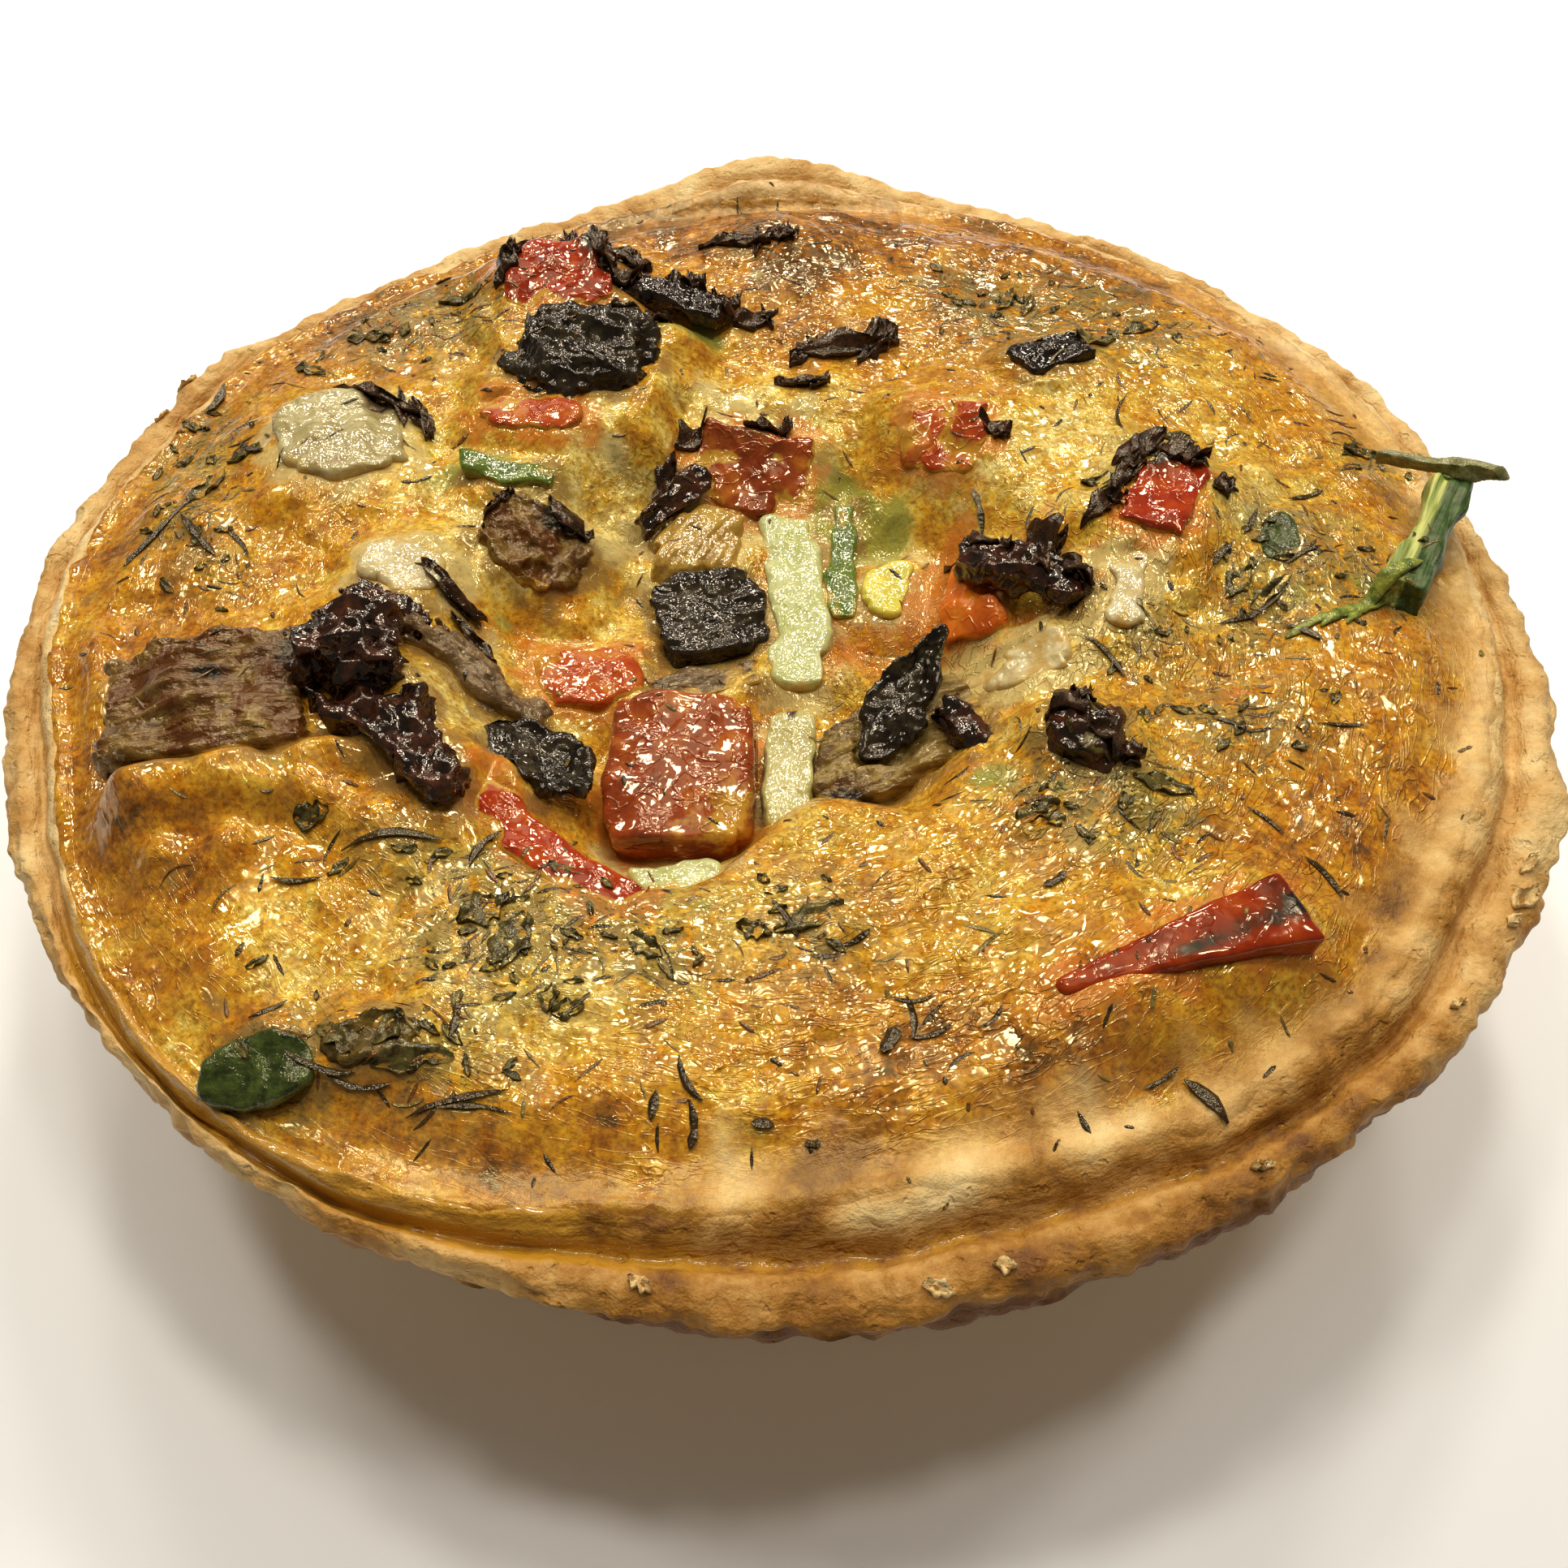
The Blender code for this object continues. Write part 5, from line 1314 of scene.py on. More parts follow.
# Every packed vegetable: its finish, its slot, and the settings with which it is dressed.
VEGETABLES = (
    ("pepper_back", "browned_red_pepper", "pepper", dict(
        turn=-8, rounds=18, corner=4.0, browned_edge=0.3, char=((0, 1, 1, 0.9), (-0.8, 0.9, 1, 0.6)),
        smear=((-0.6, -0.9, 0.5, 0.7), (0.9, -0.6, 0.6, 0.6)))),
    ("onion_dome", "browned_onion", "onion", dict(
        relief=fibre_relief, turn=60, rounds=12, corner=2.8, char=((-0.9, 0.8, 0.2, 0.8),), strength=0.5,
        smear=((0.5, -0.9, 0.0, 0.8),))),
    ("dome_char", "glossy_char", "char", dict(turn=52, rounds=3)),
    ("green_skin", "green_skin", "green", dict(
        turn=86, rounds=12, lift=0.5, smear=((0.8, 0, 1, 0.8), (-0.9, 0, 1, 0.6)))),
    ("courgette_strip", "courgette_flesh", "onion", dict(
        turn=-87, waver=0.45, rounds=22, corner=5.0, lift=0.15,
        smear=((-1, 0, 0.5, 0.7), (1, 0, 0.5, 0.5), (0.2, -1, 0.2, 0.5), (0, 1, 0.2, 0.45)))),
    ("yellow_chunk", "yellow_chunk_flesh", "onion", dict(
        turn=-14, rounds=24, corner=2.4, lift=0.2, strength=0.6)),
    ("grey_shred", "grey_leek", "leek", dict(turn=12, rounds=6, smear=((0.8, 0, 0.5, 0.6),))),
    ("black_square", "grey_char", "char", dict(turn=10, rounds=9, corner=6.0, strength=0.7)),
    ("onion_middle", "white_onion", "onion", dict(
        turn=8, rounds=24, corner=2.8, smear=((-0.8, 0.6, 0.5, 0.9), (0.9, 0, 1, 0.8)))),
    ("leek_piece", "striped_leek", "leek", dict(
        turn=24, rounds=8, strength=0.7,
        char=((-1.0, -0.7, 0.3, 0.75), (-1.0, 0.4, 0.6, 0.55), (-0.6, 1.0, 0.6, 0.5)),
        smear=((0.9, 0, 0.5, 0.7),))),
    ("onion_slice", "soft_onion", "onion", dict(
        turn=88, waver=0.45, rounds=18, corner=4.5, char=((1.05, 0.0, 0.8, 0.35),))),
    ("white_bit", "courgette_flesh", "onion", dict(rounds=12, corner=2.6, smear=((0, -1, 0.4, 0.8),))),
    ("pepper_square", "browned_red_pepper", "pepper", dict(
        turn=-3, waver=0.45, rounds=24, corner=5.0, strength=0.7,
        smear=((0.75, -0.7, 1.0, 1.1), (0.1, -0.85, 1.0, 0.5)), browned_edge=0.3)),
    ("char_leaf", "grey_char", "char", dict(
        turn=58, grain=0.18, rounds=4, strength=0.7, corner=3.0, taper=0.5)),
    ("char_twist", "glossy_char", "char", dict(
        relief=crisp_relief, turn=-58, grain=0.18, rounds=2, strength=0.6)),
    ("pepper_strip", "roasted_red_pepper", "pepper", dict(
        turn=-41, waver=0.45, rounds=18, smear=((0.55, 0.2, 0.8, 0.3),))),
    ("pepper_left", "pale_red_pepper", "pepper", dict(
        relief=flesh_relief, turn=12, rounds=22, corner=2.8, lift=0.2,
        smear=((-0.8, 0.6, 0.6, 0.9), (0.9, -1, 0.6, 0.7)))),
    ("leaf_curl", "grey_char", "char", dict(turn=-38, grain=0.18, rounds=2, strength=0.8)),
    ("grey_strip", "grey_leek", "leek", dict(
        turn=-29, rounds=8, corner=3.0, lift=0.3, smear=((-0.7, -0.9, 0.2, 0.6),))),
    ("grey_onion", "grey_onion_flesh", "onion", dict(
        turn=15, rounds=26, corner=3.2, browned_edge=0.25,
        smear=((-0.9, -0.8, 0.3, 0.9), (0.9, 0.9, 0.3, 0.8), (-0.9, 0.8, 0.5, 0.7)),
        char=((0.7, 0.7, 0.7, 0.5),))),
    ("green_strip", "green_skin", "green", dict(
        turn=-6, rounds=12, corner=3.0, lift=0.3, smear=((0.9, 0, 1, 0.9), (-0.6, 0.5, 1, 0.5)))),
    ("charred_ridge", "browned_leek", "leek", dict(
        relief=crisp_relief, turn=-20, rounds=12, corner=3.0, strength=0.7,
        smear=((-0.8, -0.6, 0, 0.8), (0.5, -1, 0, 0.8)),
        char=((0.3, 0.8, 0.8, 0.7), (0.9, 0.2, 0.6, 0.5)))),
    ("onion_patch", "white_onion", "onion", dict(
        rounds=24, corner=2.6, smear=((0, -1, 0, 0.8), (1, 0, 0.4, 0.6)))),
    ("small_dark", "glossy_char", "char", dict(turn=-33, rounds=3, lift=0.4)),
    ("leek_slab", "browned_leek", "leek", dict(
        turn=11, rounds=8, corner=7.0, strength=1.2, char=((1.0, 0.4, 0.5, 0.9), (0.0, 0.2, 1.0, 0.35)),
        smear=((-0.2, -1.0, 0.2, 0.4),))),
    ("char_tail", "glossy_char", "char", dict(
        relief=crisp_relief, turn=-47, rounds=12, corner=3.0, taper=0.35, strength=1.1)),
    ("char_knob", "glossy_char", "char", dict(
        relief=crisp_relief, turn=20, rounds=9, corner=2.6, strength=1.2)),
    ("pepper_under", "pale_red_pepper", "pepper", dict(
        turn=-20, rounds=14, corner=3.2, smear=((-0.9, 0.2, 0.3, 0.8), (0.4, -0.9, 0.6, 0.6)))),
    ("pepper_upper", "roasted_red_pepper", "pepper", dict(
        turn=14, rounds=14, corner=3.6, browned_edge=0.3,
        char=((-0.9, 0.8, 1, 0.7), (0.1, 1.0, 1, 0.5), (0.9, 0.4, 1, 0.6)))),
    ("dark_oval", "grey_char", "char", dict(turn=-12, rounds=6, strength=1.5)),
    ("dark_strip", "black_char", "char", dict(relief=crisp_relief, turn=-22, rounds=3, strength=0.6)),
    ("pepper_pink", "pale_red_pepper", "pepper", dict(
        relief=flesh_relief, turn=-10, rounds=22, corner=3.0, lift=0.2, char=((0.9, 0.9, 0.9, 0.5),),
        smear=((-0.9, 0.0, 0.4, 0.9), (0.1, 0.9, 0.3, 0.8), (0.3, -1, 0.5, 0.7)))),
    ("dark_bit", "black_char", "char", dict(turn=20, rounds=3)),
    ("pepper_right", "roasted_red_pepper", "pepper", dict(
        turn=58, rounds=16, corner=3.2, browned_edge=0.3,
        char=((0.9, 0.6, 0.9, 0.9), (0.3, 1.0, 0.9, 0.5)))),
    ("onion_side", "white_onion", "onion", dict(
        turn=75, rounds=14, corner=3.0, lift=0.3, smear=((0.9, 0, 1, 0.8), (-0.9, 0, 1, 0.6)))),
    ("pepper_orange", "roasted_orange_pepper", "pepper", dict(
        turn=84, rounds=14, smear=((0.9, 0.5, 1, 0.8),))),
    ("orange_char", "glossy_char", "char", dict(
        relief=crisp_relief, turn=-40, grain=0.18, rounds=2, strength=0.7)),
    ("olive_curl", "glossy_char", "char", dict(rounds=3, strength=1.4)),
    ("pepper_wedge", "red_pepper_wedge", "pepper", dict(
        relief=flesh_relief, turn=199, rounds=26, strength=0.15, waver=0.25,
        char=((-0.98, 0.10, 0.6, 0.60), (-0.78, 0.28, 0.6, 0.46), (-0.55, 0.34, 0.6, 0.40),
            (-0.35, 0.38, 0.6, 0.34), (-0.15, 0.41, 0.6, 0.30), (0.05, 0.43, 0.6, 0.26)))),
    ("green_leaf", "dark_green_leaf", "green", dict(turn=70, grain=0.2, rounds=3, taper=0.45)),
    ("green_stem", "green_stem_skin", "green", dict(
        relief=fibre_relief, turn=60.5, rounds=5, strength=0.6)),
    ("stem_twig", "grey_twig", "green", dict(
        relief=fibre_relief, turn=-37, grain=0.18, rounds=3, slim=0.72, taper=0.25, strength=0.6)),
    ("corner_leaf", "dark_green_leaf", "green", dict(turn=30, grain=0.2, rounds=3)),
    ("brown_leaf", "olive_leaf", "leek", dict(
        relief=char_relief, turn=12, grain=0.2, rounds=3, strength=0.6)),
)


def make_finishes():
    """Every vegetable's finish, by its name."""
    kinds = (
        (make_pepper_material, PEPPER_FINISHES), (make_flesh_material, FLESH_FINISHES),
        (make_fibre_material, FIBRE_FINISHES), (make_char_material, CHAR_FINISHES),
        (make_herb_material, LEAF_FINISHES),
    )
    finishes = {"green_stem_skin": make_stem_material()}
    for make, colours in kinds:
        for name, values in colours.items():
            finishes[name] = make(name, *values)
    return finishes


def dress_vegetables():
    """Every packed vegetable in its own finish; returns the pieces, each with its tint."""
    finishes = make_finishes()
    pieces = []
    for node, finish_name, slot, settings in VEGETABLES:
        settings = {"relief": RELIEFS[slot], **settings}
        pieces.append((dress(node, finishes[finish_name], slot, **settings), TINTS[slot]))
    return pieces


def waterlines(pieces, x, y, z):
    """For each piece, the points of its surface near the custard's skin at x, y, z, with its tint."""
    skin = KDTree(len(x))
    for index, place in enumerate(zip(x, y)):
        skin.insert((*place, 0.0), index)
    skin.balance()
    lines = []
    for item, tint in pieces:
        points = places_of(item)[::3]
        level = np.array([z[skin.find((px, py, 0.0))[1]] for px, py, _ in points])
        lines.append((points[np.abs(points[:, 2] - level) < 0.35 * MM], tint))
    return lines


def line_tree(edges):
    """A search tree over points, all laid flat."""
    tree = KDTree(sum(len(edge) for edge in edges))
    for index, point in enumerate(np.concatenate(edges)):
        tree.insert((point[0], point[1], 0.0), index)
    tree.balance()
    return tree


def sink_into(custard, pieces):
    """Adds the custard's film to the parts of each vegetable that are just over the skin."""
    tree = surface_tree([custard])
    for item, _ in pieces:
        drowned = stored_on(item, "drowned")
        for k, (x, y, z) in enumerate(places_of(item)):
            level = surface_level(tree, x, y) or 0.0
            drowned[k] = max(drowned[k], 1.0 - (z - level) / (0.6 * MM))
        item.data.attributes["drowned"].data.foreach_set("value", np.clip(drowned, 0.0, 1.0))


# --- Herbs, wisps and flakes ---


def ahead_and_aside(turn):
    ahead = np.array((math.cos(turn), math.sin(turn)))
    return ahead, np.array((-ahead[1], ahead[0]))


class Heap:
    """Collects many small closed shapes that lie on the surface into one mesh."""

    def __init__(self, tree, seed):
        self.tree = tree
        self.draw = np.random.default_rng(seed)
        self.points = []
        self.faces = []

    def needle(self, x, y, length, width, turn, bend=0.0, curl=0.0, sides=5, stations=6, sink=0.3,
               lumpy=0.0):
        """A thin bent sliver, tapered to both ends, that follows the surface under it."""
        start = len(self.points)
        ahead, aside = ahead_and_aside(turn)
        rings = []
        for k in range(stations):
            t = 2.0 * k / (stations - 1) - 1.0
            at = np.array((x, y)) + 0.5 * length * t * ahead + bend * (1.0 - t * t) * aside
            level = surface_level(self.tree, *at)
            if level is None:
                return
            rings.append((t, at, level))
        levels = np.array([level for _, _, level in rings])
        if levels.max() - levels.min() > 0.8 * length:
            return
        levels[1:-1] = np.maximum(levels[1:-1], 0.5 * (levels[:-2] + levels[2:]))
        for (t, at, _), level in zip(rings, levels):
            grow = max(0.2, (1.0 - abs(t) ** 4)) * (1.0 + lumpy * self.draw.uniform(-1.0, 1.0))
            height = level + (0.5 - sink) * width + curl * abs(t) ** 1.5
            for side in range(sides):
                phase = 2.0 * math.pi * side / sides
                out = 0.5 * width * grow * math.cos(phase)
                up = 0.22 * width * grow * math.sin(phase)
                self.points.append((*(at + out * aside), height + up))
        for k in range(stations - 1):
            for side in range(sides):
                a = start + k * sides + side
                b = start + k * sides + (side + 1) % sides
                self.faces.append((a, a + sides, b + sides, b))
        last = start + (stations - 1) * sides
        self.faces.append(tuple(start + side for side in range(sides)))
        self.faces.append(tuple(last + side for side in reversed(range(sides))))

    def leaf(self, x, y, length, width, turn, lift=0.06 * MM, wave=0.3 * MM, thickness=0.16 * MM,
             steps=(8, 4), tip=0.75, curl=0.0, tilt=0.0):
        """A crinkled closed leaf that follows the surface; its far end and one side may stand up."""
        ahead, aside = ahead_and_aside(turn)
        along_steps, across_steps = steps
        shift = self.draw.uniform(0.0, 50.0)
        grid = []
        for i in range(along_steps + 1):
            u = 2.0 * i / along_steps - 1.0
            reach = 0.5 * width * (0.10 + 0.90 * max(0.0, 1.0 - abs(u) ** 1.4) ** tip)
            for j in range(across_steps + 1):
                v = 2.0 * j / across_steps - 1.0
                ragged = 1.0 + 0.9 * noise.noise(Vector((3.2 * u, 1.6 * v, shift)))
                at = np.array((x, y)) + 0.5 * length * u * ahead + reach * v * ragged * aside
                level = surface_level(self.tree, *at)
                if level is None:
                    return
                crinkle = wave * (noise.noise(Vector((2.2 * u, 2.2 * v, shift + 9.0))) + 0.5 * v * v)
                stand = curl * max(0.0, u) ** 2 + tilt * (v + 1.0) * (1.0 - abs(u))
                grid.append((at[0], at[1], level + lift + crinkle + stand))
        heights = [point[2] for point in grid]
        if max(heights) - min(heights) > 0.7 * length + curl + 2.0 * tilt:
            return
        start = len(self.points)
        count = len(grid)
        self.points += grid
        self.points += [(px, py, pz - thickness) for px, py, pz in grid]
        row = across_steps + 1
        for i in range(along_steps):
            for j in range(across_steps):
                a = start + i * row + j
                quad = (a, a + row, a + row + 1, a + 1)
                self.faces.append(quad)
                self.faces.append(tuple(k + count for k in reversed(quad)))
        border = [(i, 0) for i in range(along_steps)]
        border += [(along_steps, j) for j in range(across_steps)]
        border += [(i, across_steps) for i in range(along_steps, 0, -1)]
        border += [(0, j) for j in range(across_steps, 0, -1)]
        ring = [start + i * row + j for i, j in border]
        for a, b in zip(ring, ring[1:] + ring[:1]):
            self.faces.append((b, a, a + count, b + count))

    def serve(self, name, material, slot, flat=False):
        item = add_piece(name, self.points, self.faces)
        if flat:
            bpy.ops.object.shade_flat()
        serve(item, material, slot)
        return item


# Single herb needles that stand out: x, y, length, width in mm, direction in degrees.
MARKED_NEEDLES = (
    (-32.1, -31.1, 3.6, 0.8, -3), (-5.4, -45.8, 3.2, 0.9, 118), (-5.4, -48.6, 2.8, 1.1, 92),
    (40.5, -18.2, 3.6, 0.5, 2), (24.2, -11.5, 4.4, 0.9, -52), (32.2, -18.4, 2.6, 0.7, -24),
    (26.2, -46.8, 3.6, 1.5, -48), (23.6, -45.4, 2.6, 0.7, 30), (8.4, -40.2, 2.8, 0.5, 2),
    (8.2, -41.6, 2.8, 0.9, -84), (9.4, -42.5, 3.0, 0.6, 14), (6.9, -43.2, 2.2, 1.7, 60),
    (0.4, -34.5, 3.6, 0.8, -60), (-26.0, -28.9, 6.8, 1.0, 6), (-19.8, -28.6, 3.6, 1.0, 60),
    (-28.0, -45.0, 4.6, 0.9, -16), (-25.6, -45.9, 4.0, 0.8, -8), (-19.5, -47.4, 6.4, 0.8, 12),
    (-18.4, -47.9, 4.6, 0.7, -6), (-49.6, 3.4, 8.8, 0.9, 60), (-46.2, 2.2, 5.6, 1.0, -50),
    (-42.8, 1.2, 3.0, 0.8, -50), (-44.0, 12.6, 3.6, 1.1, -40), (-50.0, 22.6, 3.6, 1.4, 75),
    (-20.2, -42.2, 2.6, 0.9, 84), (-32.2, -40.8, 2.6, 0.6, 30), (29.6, 16.5, 5.6, 0.5, 78),
    (43.2, 6.8, 3.6, 0.8, 24), (34.8, -1.2, 2.8, 1.0, 50), (36.3, -6.2, 7.2, 0.8, 32),
    (36.4, -31.2, 3.4, 0.8, -50), (18.3, -31.8, 1.8, 1.0, 30), (-7.6, -47.5, 1.8, 1.0, 80),
    (-1.0, -48.6, 1.4, 1.2, 0), (16.5, 7.0, 4.2, 1.1, -82), (2.6, 23.0, 3.4, 0.7, 6),
    (41.0, -1.6, 3.4, 0.9, 30), (39.6, -9.0, 3.2, 1.0, -44), (2.0, -49.5, 1.0, 0.9, 0),
    (33.2, -27.0, 3.0, 0.6, -40), (4.8, -36.2, 2.4, 0.7, 20), (37.6, 2.4, 3.0, 0.8, 60),
)
# Where needles gather: x, y, spread in mm, how many, and their usual direction in degrees.
NEEDLE_BEDS = (
    (22, -24, 6, 40, 20), (27, -27, 5, 24, -10), (-19, -33, 4, 30, 40), (-17, -37, 5, 22, 10),
    (29, 32, 7, 46, 30), (20, 33, 5, 26, 10), (36, 25, 7, 34, -40), (-36, 29, 7, 44, 20),
    (-28, 32, 5, 30, 0), (-48, 14, 4, 34, 60), (-47, 4, 4, 36, 55), (-42, -3, 4, 14, -50),
    (-42, -11, 4, 18, 30), (-26, -44, 6, 34, -5), (-14, -35, 5, 20, 10), (-7, -37, 5, 26, 0),
    (2, -35, 5, 26, 20), (33, 12, 5, 26, 30), (38, -6, 7, 40, 35), (45, -1, 5, 34, 40),
    (33, -18, 5, 22, 5), (28, -9, 4, 14, -50), (14, 37, 6, 20, -20), (-10, -47, 7, 16, 80),
    (46, 22, 6, 22, -50), (-34, -29, 5, 16, 20), (-21, 26, 5, 16, 20), (12, -38, 7, 14, 20),
    (0, 40, 9, 16, 20), (50, 12, 4, 18, 20), (-33, 15, 8, 22, 30), (22, 8, 8, 16, 70),
)
# Flat crushed leaves: x, y, length, width in mm, direction in degrees.
MARKED_LEAVES = (
    (-17.2, -36.2, 5.4, 3.0, 75), (-19.4, -33.6, 4.2, 2.8, 30), (-31.7, -26.6, 2.8, 2.0, 10),
    (2.0, -34.6, 5.6, 1.7, 24), (-1.6, -35.4, 2.8, 1.6, -20), (-8.6, -36.8, 3.0, 1.8, -30),
    (-27.4, -43.4, 4.0, 1.8, -40), (-22.4, -44.9, 5.6, 2.0, 8), (-24.0, -43.0, 3.2, 1.8, 60),
    (33.0, 29.4, 4.6, 2.0, 30), (28.4, 27.0, 4.2, 2.2, 10), (21.2, 34.2, 4.4, 1.6, 60),
    (23.2, 33.4, 4.2, 1.5, 70), (-44.6, 12.0, 3.4, 2.0, 20), (-47.0, 8.4, 5.0, 2.4, 62),
    (-43.2, -9.4, 3.6, 2.0, -60), (-36.8, 28.8, 4.8, 2.2, 0), (-29.0, 33.4, 4.8, 1.8, 0),
    (31.6, 9.4, 4.4, 2.2, 20), (26.6, 6.8, 4.6, 2.2, -30), (35.6, -3.8, 3.6, 1.8, 46),
    (22.2, -22.6, 4.0, 2.2, 20), (26.4, -24.6, 4.8, 1.8, -10), (-13.2, -41.4, 2.4, 1.6, 10),
    (-14.4, -40.6, 2.2, 1.6, 80), (38.0, -4.6, 4.6, 1.6, 36), (-41.6, 24.6, 4.2, 1.6, -30),
    (17.6, -26.6, 3.4, 1.8, 10), (33.4, 13.2, 3.6, 2.0, -20), (49.6, 13.6, 3.6, 2.2, 0),
)
# Burnt slivers: x, y, length, width in mm, direction, how far the ends stand up.
CHAR_WISPS = (
    (5.6, 27.6, 9.0, 1.5, 4, 0.8), (8.8, 28.4, 4.6, 2.2, 20, 0.9), (2.2, 23.0, 5.0, 1.0, -4, 0.4),
    (2.4, 27.4, 3.4, 1.1, 40, 0.5), (-4.0, 41.4, 7.0, 1.1, -6, 0.3), (0.4, 42.0, 3.4, 1.2, 8, 0.4),
    (-14.0, 38.6, 6.0, 1.4, -36, 0.9), (-9.0, 35.4, 5.0, 1.6, 10, 0.9), (-6.4, 33.6, 6.4, 1.3, -16, 1.0),
    (-2.4, 31.4, 5.2, 1.0, 14, 0.8), (-17.0, 41.0, 4.0, 1.6, 60, 1.2), (-16.0, 36.0, 4.4, 1.6, -60, 1.0),
    (-23.6, 38.6, 4.6, 1.8, 78, 1.4), (-19.4, 40.0, 4.2, 1.5, 84, 1.8), (-24.6, 34.0, 4.0, 1.4, 64, 0.8),
    (-12.0, 27.8, 5.6, 1.2, 30, 0.7), (16.4, 1.8, 6.0, 2.0, -28, 1.4), (21.2, 1.4, 4.6, 1.8, -62, 1.5),
    (23.0, -3.4, 5.0, 2.2, -70, 1.0), (19.4, -4.6, 4.6, 1.6, 50, 1.2), (29.4, 9.2, 4.6, 2.2, 20, 1.4),
    (32.6, 7.8, 4.4, 2.0, -30, 1.4), (27.8, 6.2, 4.0, 1.5, 46, 1.0), (35.6, 5.0, 2.0, 1.4, 20, 0.4),
    (25.6, 2.8, 4.4, 1.3, 40, 0.8), (-34.2, 17.8, 8.4, 1.2, -22, 0.4), (-30.2, 16.2, 4.6, 1.3, -60, 0.4),
    (-25.4, -3.8, 5.4, 1.2, -36, 0.5), (-23.4, -7.4, 4.8, 1.1, -42, 0.4),
    (-17.2, 5.6, 5.0, 1.6, -50, 0.8), (-22.8, 5.4, 4.0, 1.4, 60, 0.7), (20.4, -18.6, 4.0, 1.6, 30, 0.8),
    (23.2, -22.4, 4.2, 1.5, -20, 0.8), (-7.4, 16.2, 3.6, 1.4, 40, 0.7), (-0.8, 17.6, 4.4, 1.3, 12, 0.6),
    (10.6, 14.6, 2.8, 1.2, 60, 0.5), (18.2, 13.8, 3.0, 1.5, -30, 0.6), (-9.6, 12.0, 4.0, 1.5, 60, 0.6),
    (-14.2, 34.2, 4.2, 1.2, 0, 0.8),
)
# Strands of the stem's limp end: x, y, length, width in mm, direction in degrees.
STEM_TAIL = (
    (46.6, -5.4, 6.5, 1.3, 34), (43.8, -7.2, 6.5, 1.1, 27), (41.0, -8.4, 6.0, 0.8, 20),
    (44.9, -6.9, 5.0, 0.8, 38),
)
# Pale chips that stand off the pastry's edge: angle, out from the rim's edge, length and width in mm.
PASTRY_CHIPS = (
    (149.0, -0.6, 2.4, 0.8), (153.5, -0.7, 2.2, 0.7), (158.0, -0.9, 1.6, 0.6), (329.0, -1.4, 3.0, 1.3),
    (331.5, -1.8, 2.0, 0.9), (326.5, -1.2, 1.6, 0.8), (262.0, -1.6, 1.6, 0.8), (279.0, -1.4, 2.0, 0.8),
    (283.0, -1.9, 1.4, 0.7), (300.0, -1.6, 1.6, 0.7), (244.0, -1.5, 1.4, 0.6), (318.0, -1.8, 1.4, 0.6),
    (12.0, -1.3, 1.6, 0.7),
)
# Loose needles: the name of each finish and its pale and dark colours.
NEEDLE_FINISHES = {
    "dark": ("dark_needles", (0.065, 0.038, 0.012), (0.016, 0.009, 0.004)),
    "grey": ("olive_needles", (0.24, 0.165, 0.035), (0.085, 0.052, 0.012)),
    "brown": ("brown_needles", (0.20, 0.080, 0.018), (0.060, 0.020, 0.006)),
}
BED_FILL = 0.6              # the share of each bed's count that is laid
BED_REACH = 54.0 * MM
STRAY_NEEDLES = 420
STRAY_REACH = 55.0 * MM
FLAKES_A_BED = 6


def scatter_marked(tree, finish_dark):
    """The single needles that stand out, each in its own place."""
    marked = Heap(tree, SEED)
    for x, y, length, width, turn in MARKED_NEEDLES:
        bend = marked.draw.uniform(-0.12, 0.12) * length * MM
        marked.needle(x * MM, y * MM, length * MM, 0.62 * width * MM, math.radians(turn), bend, 0.1 * MM,
                      lumpy=0.35)
    marked.serve("marked_needles", finish_dark, "green", flat=True)


def scatter_needles(tree, draw, finishes):
    """Needles of three colours: thick in their beds, then a few everywhere."""
    kinds = tuple(finishes)
    heaps = {kind: Heap(tree, SEED + 1 + index) for index, kind in enumerate(kinds)}
    for at_x, at_y, spread, count, usual in NEEDLE_BEDS:
        for _ in range(int(BED_FILL * count)):
            x, y = np.array((at_x, at_y)) * MM + spread * MM * draw.normal(0.0, 0.62, 2)
            length = draw.uniform(0.7, 2.5) * MM
            width = draw.uniform(0.14, 0.34) * MM
            turn = math.radians(usual + draw.normal(0.0, 38.0))
            kind = draw.choice(kinds, p=(0.34, 0.36, 0.30))
            if math.hypot(x, y) < BED_REACH:
                bend = draw.normal(0.0, 0.08) * length
                heaps[kind].needle(x, y, length, width, turn, bend, sink=0.45, lumpy=0.25)
    for _ in range(STRAY_NEEDLES):
        reach = STRAY_REACH * math.sqrt(draw.uniform(0.02, 1.0))
        phase = draw.uniform(0.0, 2.0 * math.pi)
        kind = draw.choice(kinds, p=(0.35, 0.2, 0.45))
        length = draw.uniform(0.4, 1.6) * MM
        width = draw.uniform(0.18, 0.4) * MM
        turn = draw.uniform(0.0, math.pi)
        heaps[kind].needle(reach * math.cos(phase), reach * math.sin(phase), length, width, turn,
                           sink=0.45, lumpy=0.3)
    for kind, heap in heaps.items():
        heap.serve(f"{kind}_herb_needles", finishes[kind], "green", flat=True)


